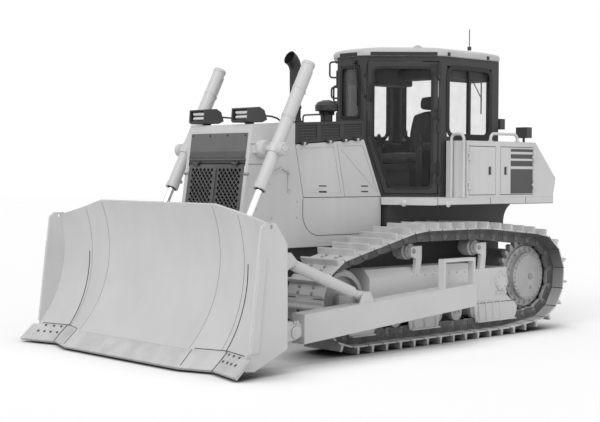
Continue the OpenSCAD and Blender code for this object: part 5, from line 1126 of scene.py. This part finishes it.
def chromed(name, tone):
    """Hard chrome: bright, with fine grinding marks round the rod and a film of oil."""
    finish, surface, place = start(name)
    ground = place.stretched((20.0, 20.0, 900.0)).noise(1.0, 2.0)
    film = place.noise(4.0, 3.0)
    place.wire(surface, {"Base Color": film.blend(grey(tone - 0.05), grey(tone + 0.02)), "Metallic": 1.0,
        "Roughness": 0.12 + 0.10 * film + 0.06 * ground})
    return finish


def collar(work, at, axis, half, bore, shoulder, rim):
    """A ring with chamfered edges, clamped round a tube."""
    chamfer = 0.002
    edge = [(half - chamfer, rim), (half, shoulder), (half, bore)]
    work.turned(at, axis, [(-along, radius) for along, radius in edge[::-1]] + edge, 28, True)


chrome = chromed("chrome", 0.93)
lift_run = Vector((0.4578, 0, -0.8891))
lift_back = Vector((lift_run.z, 0, -lift_run.x))
for side, hand in hands:
    pivot = Vector((1.3326, side * 0.68, 1.97))
    lane, gland = pivot + lift_back * 0.078, pivot + lift_run * 0.436
    pipes, seals = Work(), Work()
    pipes.tube([lane - lift_run * along - lift_back * inward
        for along, inward in ((0.90, 0.02), (0.89, 0), (0.86, 0), (0.075, 0))], 0.009)
    for along in (-0.93, -0.66, -0.36):
        collar(pipes, pivot + lift_run * along, lift_run, 0.013, 0.0585, 0.0625, 0.067)
        if along > -0.9:
            pipes.turned(lane + lift_run * along, lift_run, [(-0.014, 0.016), (0.014, 0.016)], 12)
    pipes.turned(pivot + lift_run * 0.33 + lift_back * 0.055, lift_back,
        [(0, 0.022), (0.018, 0.022), (0.020, 0.016), (0.034, 0.016)], 14)
    pipes.bolt_ring(gland, lift_run, lift_back, 0.056, 8, 0.006)
    pipes.turned(pivot, (0, side, 0), [(0.0495, 0.050), (0.068, 0.050), (0.074, 0.066), (0.13, 0.066),
        (0.138, 0.058), (0.138, 0.034), (0.146, 0.028), (0.148, 0.010)], 28)
    pipes.bolt_ring(pivot + Vector((0, side * 0.138, 0)), (0, side, 0), forward, 0.047, 6, 0.006)
    put(pipes, "lift_fittings_" + hand, pale_paint, "lift_barrel_" + hand)
    seals.turned(gland, lift_run, [(-0.002, 0.0355), (-0.002, 0.046), (0.006, 0.046), (0.009, 0.041),
        (0.009, 0.0355)], 24, True)
    put(seals, "lift_seal_" + hand, rubber, "lift_barrel_" + hand)
dress(pale_paint, "lift_barrel_l", "lift_barrel_r", "tilt_barrel")
tilt_foot = Vector((brace_x, -brace_y, brace_z))
tilt_up = Vector((-brace_run.z, 0, brace_run.x))
ports = Work()
for along in (0.33, 0.76):
    ports.turned(tilt_foot + brace_run * along + tilt_up * 0.066, tilt_up,
        [(0, 0.030), (0.020, 0.030), (0.022, 0.020), (0.040, 0.020), (0.042, 0.014)], 16)
for along in (0.262, 0.815):
    collar(ports, tilt_foot + brace_run * along, brace_run, 0.018, 0.0690, 0.0715, 0.078)
ports.bolt_ring(tilt_foot + brace_run * 0.840, brace_run, tilt_up, 0.060, 8, 0.006, 0.2)
ports.tube([tilt_foot + brace_run * along + tilt_up * rise
    for along, rise in ((0.34, 0.090), (0.36, 0.094), (0.73, 0.094), (0.75, 0.090))], 0.008)
put(ports, "tilt_ports", pale_paint, "tilt_barrel")
dress(chrome, "lift_rod_l", "lift_rod_r", "tilt_rod")
